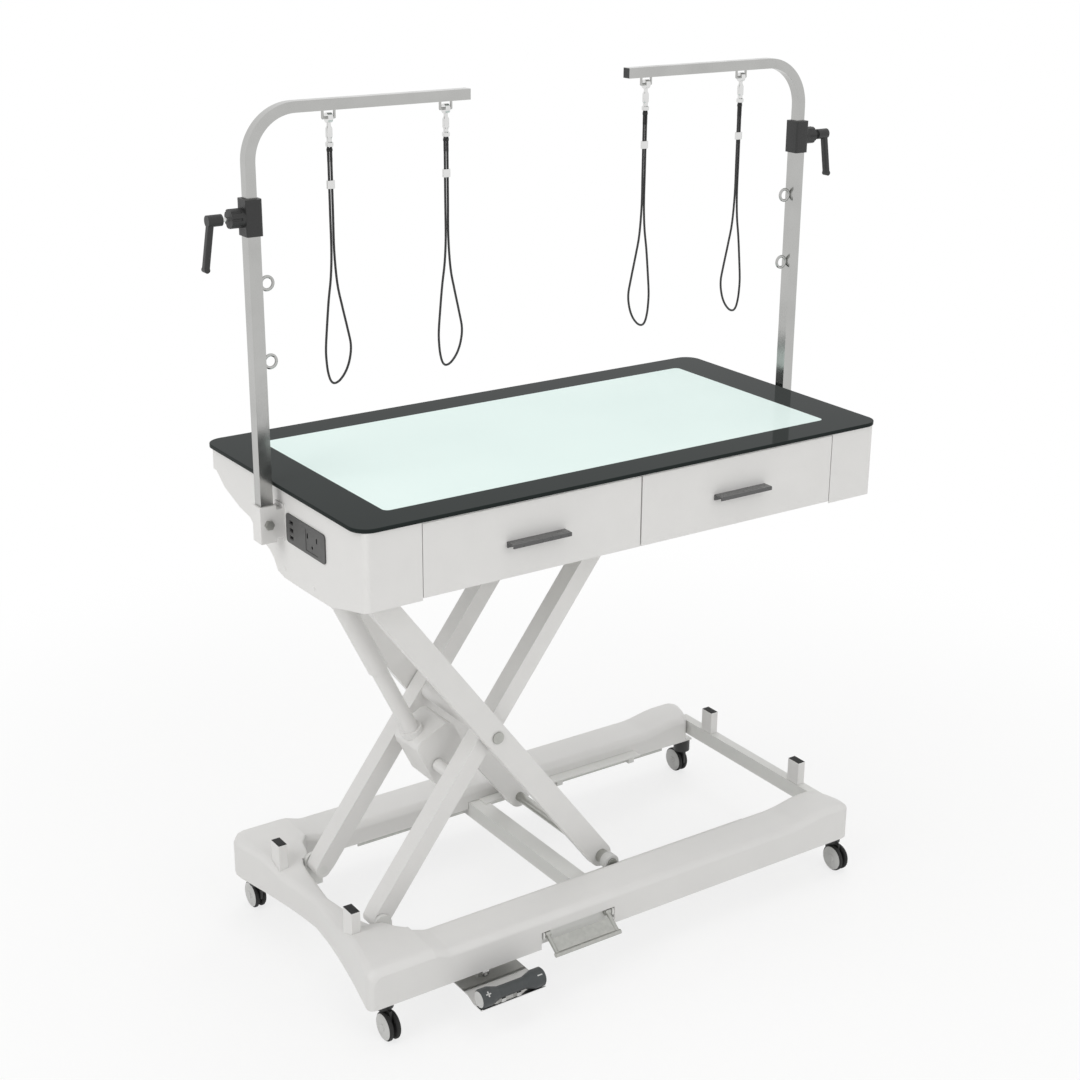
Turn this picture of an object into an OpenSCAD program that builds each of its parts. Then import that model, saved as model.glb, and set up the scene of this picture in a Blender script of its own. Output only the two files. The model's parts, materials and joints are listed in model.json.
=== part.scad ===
// Electric grooming table: a lit glass top on a drawer casing, carried by a scissor lift on a
// wheeled base, with two clamped overhead arms and four nooses.
// Millimetres. The origin is on the floor under the middle of the glass top.
// +X runs to the right along the top, +Y to the back, +Z up. The drawers face -Y.

/* [Glass top] */
// Length of the glass top
top_l = 1240; // [1180:10:1300]
// Width of the glass top
top_w = 640; // [610:10:680]
// Thickness of the glass
glass_t = 8; // [6:1:12]
// Radius of the glass corners
top_r = 36; // [20:2:60]
// Length of the lit panel under the glass
panel_l = 1052; // [900:4:1100]
// Width of the lit panel
panel_w = 496; // [400:4:540]
// Thickness of the lit panel
panel_t = 5; // [4:1:7]
// Height of the tray that holds the lamps under the panel
tray_h = 15; // [12:1:18]

/* [Casing] */
// How far the glass stands out past each end of the casing
end_lip = 13; // [8:1:20]
// How far the glass stands out past the front and the back of the casing
side_lip = 4; // [2:1:8]
// Height of the casing under the glass
casing_h = 147; // [140:1:170]
// Thickness of the casing sheet
sheet = 2; // [1.5:0.5:3]
// Radius of the upright corners of the casing
casing_r = 12; // [6:1:20]
// How far the end panels hang below the drawers
skirt = 39; // [20:1:40]
// How far the underside rises towards the back
tail_rise = 122; // [80:2:125]
// Width of the blank panel at each end of the front
end_panel_w = 117; // [100:1:140]

/* [Drawers] */
// Depth of a drawer box behind its front
drawer_depth = 320; // [260:10:330]
// Height of a drawer box
drawer_box_h = 95; // [70:1:100]
// Thickness of a drawer front
front_t = 16; // [12:1:20]
// Gap round a drawer front
front_gap = 3; // [2:0.5:5]
// Width of each half of a drawer runner
runner_t = 6; // [5:0.5:8]
// Height of a drawer runner
runner_h = 40; // [30:1:45]
// Length of a ledge handle
handle_l = 130; // [100:2:200]
// How far a handle stands out from its drawer front
handle_out = 24; // [20:1:40]

/* [Scissor lift] */
// Distance between the end pivots of a scissor arm
arm_len = 880; // [860:5:900]
// Angle of the scissor arms above the floor as modelled
lift_angle = 53.2; // [45:0.1:56]
// Steepest angle that the arms reach
lift_max = 56; // [56:0.5:60]
// Flattest angle that the arms reach
lift_min = 5.4; // [5.4:0.1:12]
// Distance of the fixed pivots left of the middle
pivot_x = 500; // [480:1:520]
// Height of the base pivots
pivot_z = 158; // [154:1:162]
// Width of the inner arm tube, seen from the side
inner_w = 38; // [34:1:42]
// Thickness of the inner arm tube across the table
inner_t = 42; // [34:1:44]
// Distance from the middle to the inner face of an inner arm
inner_y = 101; // [98:1:106]
// Width of the outer arm tube, seen from the side
outer_w = 52; // [46:1:56]
// Thickness of the outer arm tube across the table
outer_t = 25; // [20:1:28]
// Gap between an inner and an outer arm
arm_gap = 3; // [1:0.5:4]
// Wall of the arm tubes
arm_wall = 3; // [2:0.5:4]
// Diameter of the pivot pins
pin_d = 20; // [16:1:22]
// Diameter of the two roller shafts
shaft_d = 22; // [18:1:24]
// Diameter of the rollers
roller_d = 36; // [32:1:38]
// Width of a roller
roller_w = 20; // [16:1:22]
// Diameter of the cross tube at the middle pivot
mid_tube_d = 34; // [28:1:36]

/* [Lift motor] */
// Distance of the motor pivot below the middle pivot, along the inner arms
motor_pivot = 115; // [112:1:125]
// Height and width of the motor housing, at its longest
housing_l = 125; // [110:1:130]
// Width of the motor housing across the table
housing_w = 96; // [80:1:100]
// Diameter of the lower actuator tube
ram_tube_d = 34; // [30:1:36]
// Diameter of the sleeve that slides over the tube
ram_sleeve_d = 42; // [40:1:46]
// Wall of the sliding sleeve
ram_wall = 3; // [2.5:0.5:3.5]
// Length of the sliding sleeve
ram_sleeve_l = 215; // [200:1:225]

/* [Base] */
// Distance of the outer faces of the base from the middle
rail_out = 325; // [321:1:330]
// Width of a side rail cover
rail_w = 107; // [100:1:109]
// Height of the lower edge of the covers
rail_z = 96; // [92:1:98]
// Height of a rail cover
rail_h = 73; // [70:1:80]
// How much the covers rise at the ends
rail_swell = 13; // [0:1:20]
// Wall of the covers
cover_wall = 3; // [2:0.5:4]
// Distance of the right ends of the rail covers from the middle
rail_right = 605; // [600:1:612]
// Distance of the left edge of the base from the middle, where it is narrowest
base_left = 573; // [570:1:580]
// Height of the tops of the rest posts
post_top_z = 222; // [216:1:226]
// Distance of the rest posts from the middle, across the table
rest_post_y = 158; // [155:1:160]
// Diameter of a caster wheel
wheel_d = 60; // [54:1:62]
// Width of a caster's pair of wheels
wheel_w = 28; // [24:1:32]
// Distance of a wheel's axle from the caster's turning axis
caster_trail = 18; // [14:1:20]
// Distance of the left casters from the middle
caster_left = 571; // [565:1:576]
// Distance of the right casters from the middle
caster_right = 603; // [596:1:604]

/* [Pedals] */
// Length of the rocker bar
rocker_l = 148; // [120:1:160]
// Diameter of the ends of the rocker bar
rocker_end_d = 39; // [34:1:42]
// Diameter of the waist of the rocker bar
rocker_waist_d = 25; // [20:1:30]
// Diameter of the brake lever's rod
lever_rod_d = 10; // [8:1:12]
// Distance between the pivots of the brake lever
lever_span = 150; // [130:1:160]
// Diameter of the linkage rod under the back rail
link_d = 8; // [6:1:10]

/* [Overhead arms] */
// Distance of the posts from the middle, along the table
mast_x = 640; // [638:1:650]
// Distance of the posts behind the middle
mast_y = 10; // [0:1:20]
// Size of the square post tube
post_s = 25; // [25:1:28]
// Length of a post
post_l = 615; // [580:5:680]
// Size of the square tube of an upper arm
boom_s = 20; // [16:1:20]
// Wall of both square tubes
mast_wall = 1.5; // [1.2:0.1:2]
// Distance of the left post's foot below the glass surface
post_foot = 110; // [104:1:114]
// How much longer the right post is
post_extra_right = 47; // [0:1:50]
// Height of the left boom above the foot of its clamp
boom_out_left = 219; // [215:1:260]
// Height of the right boom above the foot of its clamp
boom_out_right = 189; // [187:1:260]
// Reach of a boom from its post
boom_reach = 452; // [440:2:480]
// Radius of the bend of a boom
boom_r = 92; // [70:1:95]
// Height of a clamp
clamp_h = 66; // [60:1:80]
// Distance of the first noose from the post
noose_1 = 162; // [150:2:180]
// Distance of the second noose from the post
noose_2 = 407; // [390:1:410]
// Diameter of the noose cord
cord_d = 5; // [4:0.5:5]

/* [Hidden] */
$fn = 64;

paint = "#dcdcda";
paint_shade = "#c8c8c4";
steel = "#b9b9b6";
chrome = "#d6d6d4";
black = "#2b2b2b";
glass_black = "#3a3d3c";
mint = "#dcebe8";

// Running clearance of a pin in its hole, on the radius
run_fit = 0.05;
// Clearance between parts that only have to miss each other
loose = 0.3;
// A cut runs this far past the face that it opens
past = 1;

// Heights that follow from the lift
rise = arm_len * sin(lift_angle);
spread = arm_len * cos(lift_angle);
top_pivot_z = pivot_z + rise;
roller_x = spread - pivot_x;
track_gap = 0.5;
track_wall = 3;
frame_rail_h = 33;
casing_z = top_pivot_z + roller_d / 2 + track_gap + track_wall + frame_rail_h;
casing_top_z = casing_z + casing_h;
glass_z = casing_top_z + glass_t;

// Planes of the scissor arms
inner_mid_y = inner_y + inner_t / 2;
outer_y = inner_y + inner_t + arm_gap;
outer_mid_y = outer_y + outer_t / 2;
outer_face_y = outer_y + outer_t;

casing_l = top_l - 2 * end_lip;
casing_w = top_w - 2 * side_lip;
front_y = -casing_w / 2;
drawer_span = casing_l / 2 - end_panel_w;
tray_z = casing_top_z - panel_t - tray_h;

// Small shared shapes

module round_rect(l, w, r) {
    square([l - 2 * r, w], center = true);
    square([l, w - 2 * r], center = true);
    for (x = [-1, 1], y = [-1, 1]) translate([x * (l / 2 - r), y * (w / 2 - r)]) circle(r);
}

// A bar with round ends, from the origin along +X
module stadium(l, w) {
    translate([0, -w / 2]) square([l, w]);
    for (x = [0, l]) translate([x, 0]) circle(w / 2);
}

// An outline in X and Z, made t thick about the plane y = 0
module across(t) {
    rotate([90, 0, 0]) linear_extrude(t, center = true) children();
}

// An outline in Y and Z, made l long about the plane x = 0
module along(l) {
    rotate([90, 0, 90]) linear_extrude(l, center = true) children();
}

module rod_y(d, y0, y1) {
    translate([0, y0, 0]) rotate([-90, 0, 0]) cylinder(d = d, h = y1 - y0);
}

module rod_x(d, x0, x1) {
    translate([x0, 0, 0]) rotate([0, 90, 0]) cylinder(d = d, h = x1 - x0);
}

module block(lo, hi) {
    translate(lo) cube(hi - lo);
}

// A closed skin through rings that all have as many points
module loft(rings) {
    n = len(rings[0]);
    last = len(rings) - 1;
    sides = [for (k = [0 : last - 1], i = [0 : n - 1])
        [k * n + i, k * n + (i + 1) % n, (k + 1) * n + (i + 1) % n, (k + 1) * n + i]];
    polyhedron(
        points = [for (ring = rings) each ring],
        faces = concat(sides, [[for (i = [n - 1 : -1 : 0]) i]], [[for (i = [0 : n - 1]) last * n + i]]),
        convexity = 6
    );
}

// Base

rail_in = rail_out - rail_w;
cross_x = -(base_left - 14);
cross_w = 20;
right_cross_x = caster_right - 11;
side_tube_w = 44;
side_tube_h = 40;
side_tube_y = rail_out - 35;
side_tube_z = rail_z + 4;
side_tube_end = rail_right - 30;
half_inside = side_tube_y - side_tube_w / 2;
ledge_t = 3;
ledge_top = pivot_z - roller_d / 2 - loose;
lower_roller_y = rail_in - 17;
shaft_end_y = rail_in - 4;
lug_t = 8;
lug_y = outer_y + lug_t / 2;
caster_y = rail_out - 49;
inner_lip = 24;
post_l_x = 20;
post_l_y = 36;
cap_h = 6;
post_x = -(base_left);
lever_x = -140;
lever_pivot_y = -(rail_out - 5);
lever_pivot_z = rail_z + 30;

// Where the lower roller is when the table is right up and right down
roller_x_up = arm_len * cos(lift_max) - pivot_x;
roller_x_down = arm_len * cos(lift_min) - pivot_x;

// A square tube from one point to another along X or Y, open at its ends
module tube_block(lo, hi, open) {
    w = arm_wall;
    difference() {
        block(lo, hi);
        block(
            [lo[0] + (open == 0 ? -past : w), lo[1] + (open == 1 ? -past : w), lo[2] + w],
            [hi[0] - (open == 0 ? -past : w), hi[1] - (open == 1 ? -past : w), hi[2] - w]
        );
    }
}

// Steel angle that a lower roller runs on, with the brackets that tie it to the side tube
module ledge() {
    x0 = roller_x_up - roller_d / 2 - 12;
    x1 = roller_x_down + roller_d / 2 + 12;
    wall_y = rail_in - loose;
    block([x0, wall_y - 29, ledge_top - ledge_t], [x1, wall_y, ledge_top]);
    block([x0, wall_y - ledge_t, rail_z + inner_lip + 3], [x1, wall_y, ledge_top]);
    for (x = [x0 + 12, (x0 + x1) / 2, x1 - 12]) {
        block([x - 8, wall_y - 8, rail_z + inner_lip - 8], [x + 8, wall_y, ledge_top - ledge_t]);
        block([x - 8, wall_y - 8, rail_z + inner_lip - 8], [x + 8, half_inside + 1, rail_z + inner_lip - 2]);
    }
}

// Plate that holds a fixed pivot of an inner arm, with its stub pin
module base_lug() {
    reach = -pivot_x - cross_x;
    translate([cross_x, lug_y, 0]) across(lug_t) {
        translate([0, side_tube_z]) square([reach, 44]);
        translate([reach, pivot_z]) circle(20);
        translate([reach - 20, side_tube_z]) square([40, pivot_z - side_tube_z]);
    }
    translate([-pivot_x, 0, pivot_z]) rod_y(pin_d, inner_y, lug_y);
}

module base_side() {
    // Side tube, its end gusset, the rest post's foot and the caster mounts
    tube_block(
        [cross_x - cross_w / 2, side_tube_y - side_tube_w / 2, side_tube_z],
        [side_tube_end, side_tube_y + side_tube_w / 2, side_tube_z + side_tube_h], 0
    );
    block([side_tube_end - 15, half_inside - 6, side_tube_z + 12], [right_cross_x + 11, half_inside + 4, rail_z + 64]);
    block([post_x - post_l_x / 2, rest_post_y - 18, side_tube_z + 36], [cross_x + 8, rest_post_y + 18, side_tube_z + 40]);
    for (x = [-caster_left, caster_right]) {
        block([x - (x > 0 ? 44 : 24), caster_y - 22, rail_z], [x + (x > 0 ? 14 : 44), caster_y + 22, side_tube_z]);
        translate([x, caster_y, wheel_d + 12]) cylinder(d = 10, h = rail_z - wheel_d - 11);
    }
    base_lug();
    ledge();
}

module base_frame() color(paint_shade) {
    for (s = [0, 1]) mirror([0, s, 0]) base_side();
    // Tubes across the base
    y = half_inside - 0.05;
    tube_block([cross_x - cross_w / 2, -y, side_tube_z], [cross_x + cross_w / 2, y, side_tube_z + 36], 1);
    tube_block([-65, -y, rail_z + 6], [-25, y, rail_z + 41], 1);
    tube_block([right_cross_x - 11, 6 - y, rail_z + 36], [right_cross_x + 11, y - 6, rail_z + 71], 1);
    brake_ears();
    pedal_hanger();
}

// Two ears and pins that the brake lever turns on
module brake_ears() {
    ear_t = 4;
    tube_y = -(side_tube_y + side_tube_w / 2);
    for (s = [-1, 1]) translate([lever_x + s * (lever_span / 2 + 11), 0, 0]) {
        block([-ear_t / 2, lever_pivot_y - 7, lever_pivot_z - 7], [ear_t / 2, tube_y, lever_pivot_z + 7]);
        translate([0, lever_pivot_y, lever_pivot_z]) rod_x(6, s > 0 ? -16 : 0, s > 0 ? 0 : 16);
    }
}

function ease(t) = let (f = min(1, max(0, t))) f * f * (3 - 2 * f);

// Height of the covers' top at a distance x along the table
function rail_top(x) = rail_z + rail_h + rail_swell * (ease((x - 440) / 100) + ease((-x - 440) / 50));

// How far a rounded edge has dropped at a distance d inside it
edge_r = 18;
function edge_drop(d) = d < edge_r ? 0.9 * edge_r * pow(1 - d / edge_r, 2.6) : 0;

// Ring of a rail cover between the distances a and b from the middle: outer line, then inner line
function rail_ring(x, a, b, drop) = let (
    k = min(1, (b - a) / 50),
    w = min(cover_wall, (b - a) / 2 - 0.4),
    t = rail_top(x) - drop,
    ds = [0, 3, 9, edge_r]
) concat(
    [[x, -b, rail_z]],
    [for (d = ds) [x, -b + d * k, t - edge_drop(d) * max(k, 0.3)]],
    [for (i = [3 : -1 : 0]) [x, -a - ds[i] * k, t - edge_drop(ds[i]) * max(k, 0.3)]],
    [[x, -a, rail_z + inner_lip], [x, -a - w, rail_z + inner_lip]],
    [for (d = ds) [x, -a - w - (d * (1 - w / edge_r)) * k, t - w - edge_drop(d) * max(k, 0.3)]],
    [for (i = [3 : -1 : 0]) [x, -b + w + (ds[i] * (1 - w / edge_r)) * k, t - w - edge_drop(ds[i]) * max(k, 0.3)]],
    [[x, -b + w, rail_z]]
);

seam_x = -480;
rear_r = 60;

// The same ring on the other side of the table
function back_ring(ring) = [for (i = [len(ring) - 1 : -1 : 0]) [ring[i][0], -ring[i][1], ring[i][2]]];

module rail_cover(s) color(paint) {
    tip = rail_right;
    // Distance along the table, inner edge, outer edge, drop
    nose = [
        [tip - 45, 0, 0, 0], [tip - 35, 4, 0, 0], [tip - 26, 14, 0, 0], [tip - 17, 31, 0, 1],
        [tip - 7, 56, 2, 4], [tip - 2, 79, 6, 9], [tip, 92, 11, 15]
    ];
    rings = concat(
        [for (x = [seam_x, -465, -450, -440, 440, 465, 490, 515, 540]) rail_ring(x, rail_in, rail_out, 0)],
        [for (p = nose) rail_ring(p[0], rail_in + p[1], rail_out - p[2], p[3])]
    );
    difference() {
        loft([for (ring = rings) s < 0 ? ring : back_ring(ring)]);
        // Ways through for the cross tubes
        translate([-45, s * (rail_in + cover_wall / 2 + 1), rail_z + 21]) cube([42, cover_wall + 4, 42], center = true);
        translate([right_cross_x, s * (rail_in + half_inside) / 2, rail_z + 36])
            cube([25, half_inside - rail_in + 12, 72 + past], center = true);
    }
}

module front_rail_cover() difference() {
    rail_cover(-1);
    // Notch over the brake lever
    color(paint) block(
        [lever_x - lever_span / 2 - 16, -rail_out - past, rail_z - past],
        [lever_x + lever_span / 2 + 16, -rail_out + cover_wall + past, lever_pivot_z + 9]
    );
}

module rear_rail_cover() rail_cover(1);

// Left end cover: distance of its outer and inner edge, and its height, at a distance v from the middle
function end_outer(y) = let (
    v = abs(y),
    r = y > 0 ? rear_r : edge_r,
    c = max(0, v - rail_out + r) / r
) -base_left - 58 * pow(v / rail_out, 1.4) + r * (1 - sqrt(max(0, 1 - c * c)));

function end_inner(v) = lookup(v, [
    [0, -base_left + 28], [outer_y - 1, -pivot_x - 26], [160, -pivot_x - 5], [200, -pivot_x + 3], [rail_in, seam_x]
]);

function end_top(x, v) = rail_top(x) - 22 * (1 - ease((v - 110) / 100)) - edge_drop(rail_out - v);

function end_ring(y) = let (
    v = abs(y),
    xo = end_outer(y),
    xi = end_inner(v),
    w = cover_wall,
    wide = xi - xo,
    in_rail = v > rail_in,
    us = [0, 3, 9, min(18, wide * 0.45)],
    lip = in_rail ? end_top(xi, v) - w - 0.2 : rail_z + inner_lip,
    inner = in_rail ? [0, 12, 30, 45] : [0, 2, 5, min(10, wide * 0.3)]
) concat(
    [[xo, y, rail_z]],
    [for (u = us) [xo + u, y, end_top(xo, v) - edge_drop(u)]],
    [for (i = [3 : -1 : 0]) [xi - inner[i], y, end_top(xi - inner[i], v)
        - (in_rail ? 0 : edge_drop(8 + inner[i]))]],
    [[xi, y, lip], [xi - (in_rail ? 0.5 : w), y, lip]],
    [for (i = [0 : 3]) [xi - w - inner[i], y, end_top(xi - inner[i], v) - w
        - (in_rail ? 0 : edge_drop(8 + inner[i]))]],
    [for (i = [3 : -1 : 0]) [xo + w + us[i] * 0.85, y, end_top(xo, v) - w - edge_drop(us[i])]],
    [[xo + w, y, rail_z]]
);

module left_end_cover() color(paint) {
    stations = [0, 60, 110, outer_y - 1, 160, 180, 200, rail_in - 0.1, rail_in + 0.1, 242, 265,
        285, 301, rail_out - 15, rail_out - 8, rail_out - 3, rail_out - 0.5, rail_out];
    n = len(stations);
    ys = concat([for (i = [n - 1 : -1 : 1]) stations[i]], [for (v = stations) -v]);
    difference() {
        union() {
            loft([for (y = ys) end_ring(y)]);
            // Front and back walls
            for (s = [-1, 1]) translate([0, s * (rail_out - cover_wall / 2 - 0.02), 0]) across(cover_wall)
                polygon(concat(
                    [for (x = [seam_x, seam_x - 12, seam_x - 30, seam_x - 45, end_outer(s * rail_out) + 9])
                        [x, end_top(x, rail_out) - 0.02]],
                    [[end_outer(s * rail_out) + 1, end_top(-600, rail_out) - 8],
                        [end_outer(s * rail_out) + 1, rail_z + 0.02], [seam_x, rail_z + 0.02]]
                ));
        }
        for (s = [0, 1]) mirror([0, s, 0]) {
            // Openings for a rest post and for the pivot plate
            translate([post_x, rest_post_y, rail_z + 80])
                cube([post_l_x + 2 * loose, post_l_y + 2 * loose, 100], center = true);
            block([cross_x, lug_y - 5, rail_z - past], [-pivot_x + 25, lug_y + 5, rail_z + 51]);
            block([-pivot_x - 24, lug_y - 5, rail_z], [-pivot_x + 25, lug_y + 5, rail_z + 90]);
        }
    }
}

module rest_posts() {
    for (p = [[post_x, side_tube_z + 40], [right_cross_x, rail_z + 71]], s = [-1, 1]) translate([p[0], s * rest_post_y, 0]) {
        color(paint_shade) difference() {
            block([-post_l_x / 2, -post_l_y / 2, p[1]], [post_l_x / 2, post_l_y / 2, post_top_z - cap_h]);
            block(
                [-post_l_x / 2 + 2, -post_l_y / 2 + 2, p[1] - past],
                [post_l_x / 2 - 2, post_l_y / 2 - 2, post_top_z - cap_h + past]
            );
        }
        color(black) {
            block([-post_l_x / 2, -post_l_y / 2, post_top_z - cap_h], [post_l_x / 2, post_l_y / 2, post_top_z]);
            block(
                [-post_l_x / 2 + 2, -post_l_y / 2 + 2, post_top_z - cap_h - 10],
                [post_l_x / 2 - 2, post_l_y / 2 - 2, post_top_z - cap_h]
            );
        }
    }
}

// Linkage rod of the wheel brakes, under the back rail
module brake_rod() {
    link_y = side_tube_y - 3;
    link_z = rail_z - 12;
    color(black) translate([0, link_y, link_z]) rod_x(link_d, -322, caster_right - 48);
    color(steel) block([-322, link_y - 8, link_z - 10], [caster_right - 60, link_y - 5, link_z + 1]);
}

// Pedals

rocker_x = -350;
rocker_out = 67;
rocker_y = -(rail_out + rocker_out);
rocker_z = rail_z - 8;
rock_pin_z = rail_z - 12;
rock_pin_y = -(side_tube_y - 12);

// Block and pin under the side tube that the pedal rocks on
module pedal_hanger() {
    block([rocker_x - 9, rock_pin_y - 8, rock_pin_z - 7], [rocker_x + 9, rock_pin_y + 8, side_tube_z + 1]);
    translate([rocker_x, 0, rock_pin_z]) rod_y(8, rock_pin_y - 24, rock_pin_y + 24);
}

module pedal_plate() color(chrome) {
    low = rocker_z - rocker_end_d / 2 - 1;
    top = rock_pin_z - 8;
    t = 2.5;
    translate([rocker_x, 0, 0]) {
        along(rocker_l) polygon([
            [rock_pin_y + 26, top], [rocker_y + 42, top], [rocker_y + 20, low], [rocker_y - 8, low],
            [rocker_y - 13, low + 5], [rocker_y - 13 - t, low + 5], [rocker_y - 9, low - t], [rocker_y + 19, low - t],
            [rocker_y + 41, top - t], [rock_pin_y + 26, top - t]
        ]);
        // Saddles under the waist of the bar
        for (x = [-18, 18]) translate([x, 0, 0]) difference() {
            block([-5, rocker_y - 3, low - 0.5], [5, rocker_y + 11, rocker_z - 4]);
            translate([0, rocker_y, rocker_z]) rod_x(rocker_waist_d, -6, 6);
        }
        // Hubs on the pin
        for (y = [rock_pin_y - 17, rock_pin_y + 17]) translate([0, y, rock_pin_z]) difference() {
            union() {
                rod_y(15, -7, 7);
                block([-7.5, -7, -8.5], [7.5, 7, 0]);
            }
            rod_y(8 + 2 * run_fit, -9, 9);
        }
    }
}

module rocker_pedal() color(black) {
    half = rocker_l / 2;
    end_l = 22;
    translate([rocker_x, rocker_y, rocker_z]) rotate([0, 90, 0]) rotate_extrude() polygon([
        [0, -half], [rocker_end_d / 2 - 3, -half], [rocker_end_d / 2, -half + 3],
        [rocker_end_d / 2, -half + end_l], [rocker_waist_d / 2, -half + 2 * end_l],
        [rocker_waist_d / 2, half - 2 * end_l], [rocker_end_d / 2, half - end_l],
        [rocker_end_d / 2, half - 3], [rocker_end_d / 2 - 3, half], [0, half]
    ]);
}

// Brake lever: a bent rod with a plate between its legs
module brake_lever() color(steel) {
    half = lever_span / 2;
    drop = 28;
    out = 40;
    leg = sqrt(out * out + drop * drop);
    lean = atan2(drop, out);
    translate([lever_x, lever_pivot_y, lever_pivot_z]) {
        for (s = [-1, 1]) translate([s * half, 0, 0]) difference() {
            union() {
                rod_x(lever_rod_d + 4, -6, 6);
                rotate([90 + lean, 0, 0]) cylinder(d = lever_rod_d - 1, h = leg);
            }
            rod_x(6 + 2 * run_fit, -10, 10);
        }
        translate([0, -out, -drop]) rod_x(lever_rod_d, -half - 6, half + 6);
        // Plate between the legs
        rotate([lean, 0, 0]) block([-half, -leg, -1.5], [half, -14, 1.5]);
    }
}

// Casters

module at_caster(x, s) {
    translate([x, s * caster_y, 0]) mirror([0, s > 0 ? 0 : 1, 0]) children();
}

module caster_fork(x, s) {
    r = wheel_d / 2;
    boss_top = rail_z - loose;
    plate = 6;
    color(black) at_caster(x, s) difference() {
        union() {
            translate([0, 0, wheel_d + 4]) cylinder(d = 40, h = boss_top - wheel_d - 4);
            along(plate) difference() {
                union() {
                    translate([-14, r]) square([caster_trail + 24, wheel_d + 6 - r]);
                    translate([caster_trail, r]) circle(12);
                }
                translate([caster_trail, r]) circle(4 + run_fit);
            }
        }
        translate([0, 0, wheel_d + 11]) cylinder(r = 5 + run_fit, h = 40);
    }
}

module caster_wheel(x, s) {
    r = wheel_d / 2;
    color(black) at_caster(x, s) translate([0, caster_trail, r]) {
        rod_x(8, -wheel_w / 2 + 4, wheel_w / 2 - 4);
        for (m = [0, 1]) mirror([m, 0, 0]) rotate([0, 90, 0]) rotate_extrude() polygon([
            [0, 3.3], [r - 3, 3.3], [r, 5.5], [r, wheel_w / 2 - 4], [r - 3, wheel_w / 2 - 1],
            [r - 9, wheel_w / 2], [r - 10, wheel_w / 2 - 2], [8, wheel_w / 2 - 2], [6, wheel_w / 2], [0, wheel_w / 2]
        ]);
    }
}

// Scissor lift

module at_base_pivot() {
    translate([-pivot_x, 0, pivot_z]) rotate([0, -lift_angle, 0]) children();
}

module at_top_pivot() {
    translate([-pivot_x, 0, top_pivot_z]) rotate([0, lift_angle, 0]) children();
}

// A hollow arm with pin holes at its start, middle and end
module scissor_arm(w, t, start_r, end_hole_r, drain) {
    mid = arm_len / 2;
    solid_end = w / 2 + 10;
    difference() {
        across(t) difference() {
            union() {
                translate([20, -w / 2]) square([arm_len - 20, w]);
                translate([arm_len, 0]) circle(w / 2);
                circle(17);
                polygon([[-3, 16.7], [20, w / 2], [20, -w / 2], [-3, -16.7]]);
            }
            circle(start_r);
            translate([mid, 0]) circle(pin_d / 2 + run_fit);
            translate([arm_len, 0]) circle(end_hole_r);
        }
        for (x0 = [solid_end, mid + pin_d]) {
            block([x0, -t / 2 + arm_wall, -w / 2 + arm_wall], [x0 + mid - solid_end - pin_d, t / 2 - arm_wall, w / 2 - arm_wall]);
            // Drain hole
            translate([x0 + 30, 0, drain * w / 2 - arm_wall / 2]) cylinder(d = 8, h = arm_wall + 4, center = true);
        }
    }
}

stub_y = housing_w / 2 + 3;

module inner_arms() color(paint) at_base_pivot() {
    mid = arm_len / 2;
    for (s = [-1, 1]) {
        translate([0, s * inner_mid_y, 0]) scissor_arm(inner_w, inner_t, pin_d / 2 + run_fit, shaft_d / 2 + run_fit, -1);
        // Stub that carries the motor's pivot pin
        translate([mid - motor_pivot, 0, 0]) difference() {
            rod_y(26, s > 0 ? stub_y : -inner_y, s > 0 ? inner_y : -stub_y);
            rod_y(16 + 2 * run_fit, -inner_y - past, inner_y + past);
        }
    }
    translate([mid, 0, 0]) difference() {
        rod_y(mid_tube_d, -inner_y, inner_y);
        rod_y(pin_d + 2 * run_fit, -inner_y - past, inner_y + past);
    }
}

module pivot_pins() color(steel) at_base_pivot() {
    head_y = outer_face_y + loose;
    for (s = [0, 1]) mirror([0, s, 0]) {
        translate([arm_len / 2, 0, 0]) {
            rod_y(pin_d, inner_y - 30, head_y + 1);
            rod_y(pin_d + 6, head_y, head_y + 3.5);
        }
        translate([arm_len / 2 - motor_pivot, 0, 0]) rod_y(16, housing_w / 2 - 14, inner_y - 1);
        // Stub axle of an upper roller
        translate([arm_len, 0, 0]) rod_y(shaft_d, track_y + track_wall + loose, inner_y + inner_t);
    }
}

fork_y = 27;
fork_t = 6;
ram_top = [-12.5, -13];

// Place of the sleeve's top eye in the outer arms' own directions
eye_along = ram_top[0] * cos(lift_angle) - ram_top[1] * sin(lift_angle);
eye_across = ram_top[0] * sin(lift_angle) + ram_top[1] * cos(lift_angle);

module outer_arms() color(paint) at_top_pivot() {
    for (s = [-1, 1]) {
        translate([0, s * outer_mid_y, 0]) scissor_arm(outer_w, outer_t, pin_d / 2 + run_fit, shaft_d / 2 + run_fit, 1);
        // Half shaft and fork cheek that hold the top of the actuator
        rod_y(24, s > 0 ? fork_y : -outer_y, s > 0 ? outer_y : -fork_y);
        translate([eye_along, s * (fork_y + fork_t / 2), eye_across]) across(fork_t) {
            translate([0, -2]) rotate(90) stadium(28, 30);
        }
    }
}

module roller_shaft() color(chrome) at_top_pivot() {
    translate([arm_len, 0, 0]) {
        rod_y(shaft_d, -shaft_end_y, shaft_end_y);
        for (s = [0, 1]) mirror([0, s, 0]) rod_y(shaft_d + 8, outer_face_y + loose, lower_roller_y - roller_w / 2 - 1);
    }
}

module roller(y) {
    translate([0, y, 0]) rotate([90, 0, 0]) difference() {
        cylinder(d = roller_d, h = roller_w, center = true);
        cylinder(r = shaft_d / 2 + run_fit, h = roller_w + 2 * past, center = true);
    }
}

module lower_rollers() color(black) {
    translate([roller_x, 0, pivot_z]) for (s = [-1, 1]) roller(s * lower_roller_y);
}

upper_roller_y = 78;

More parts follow.
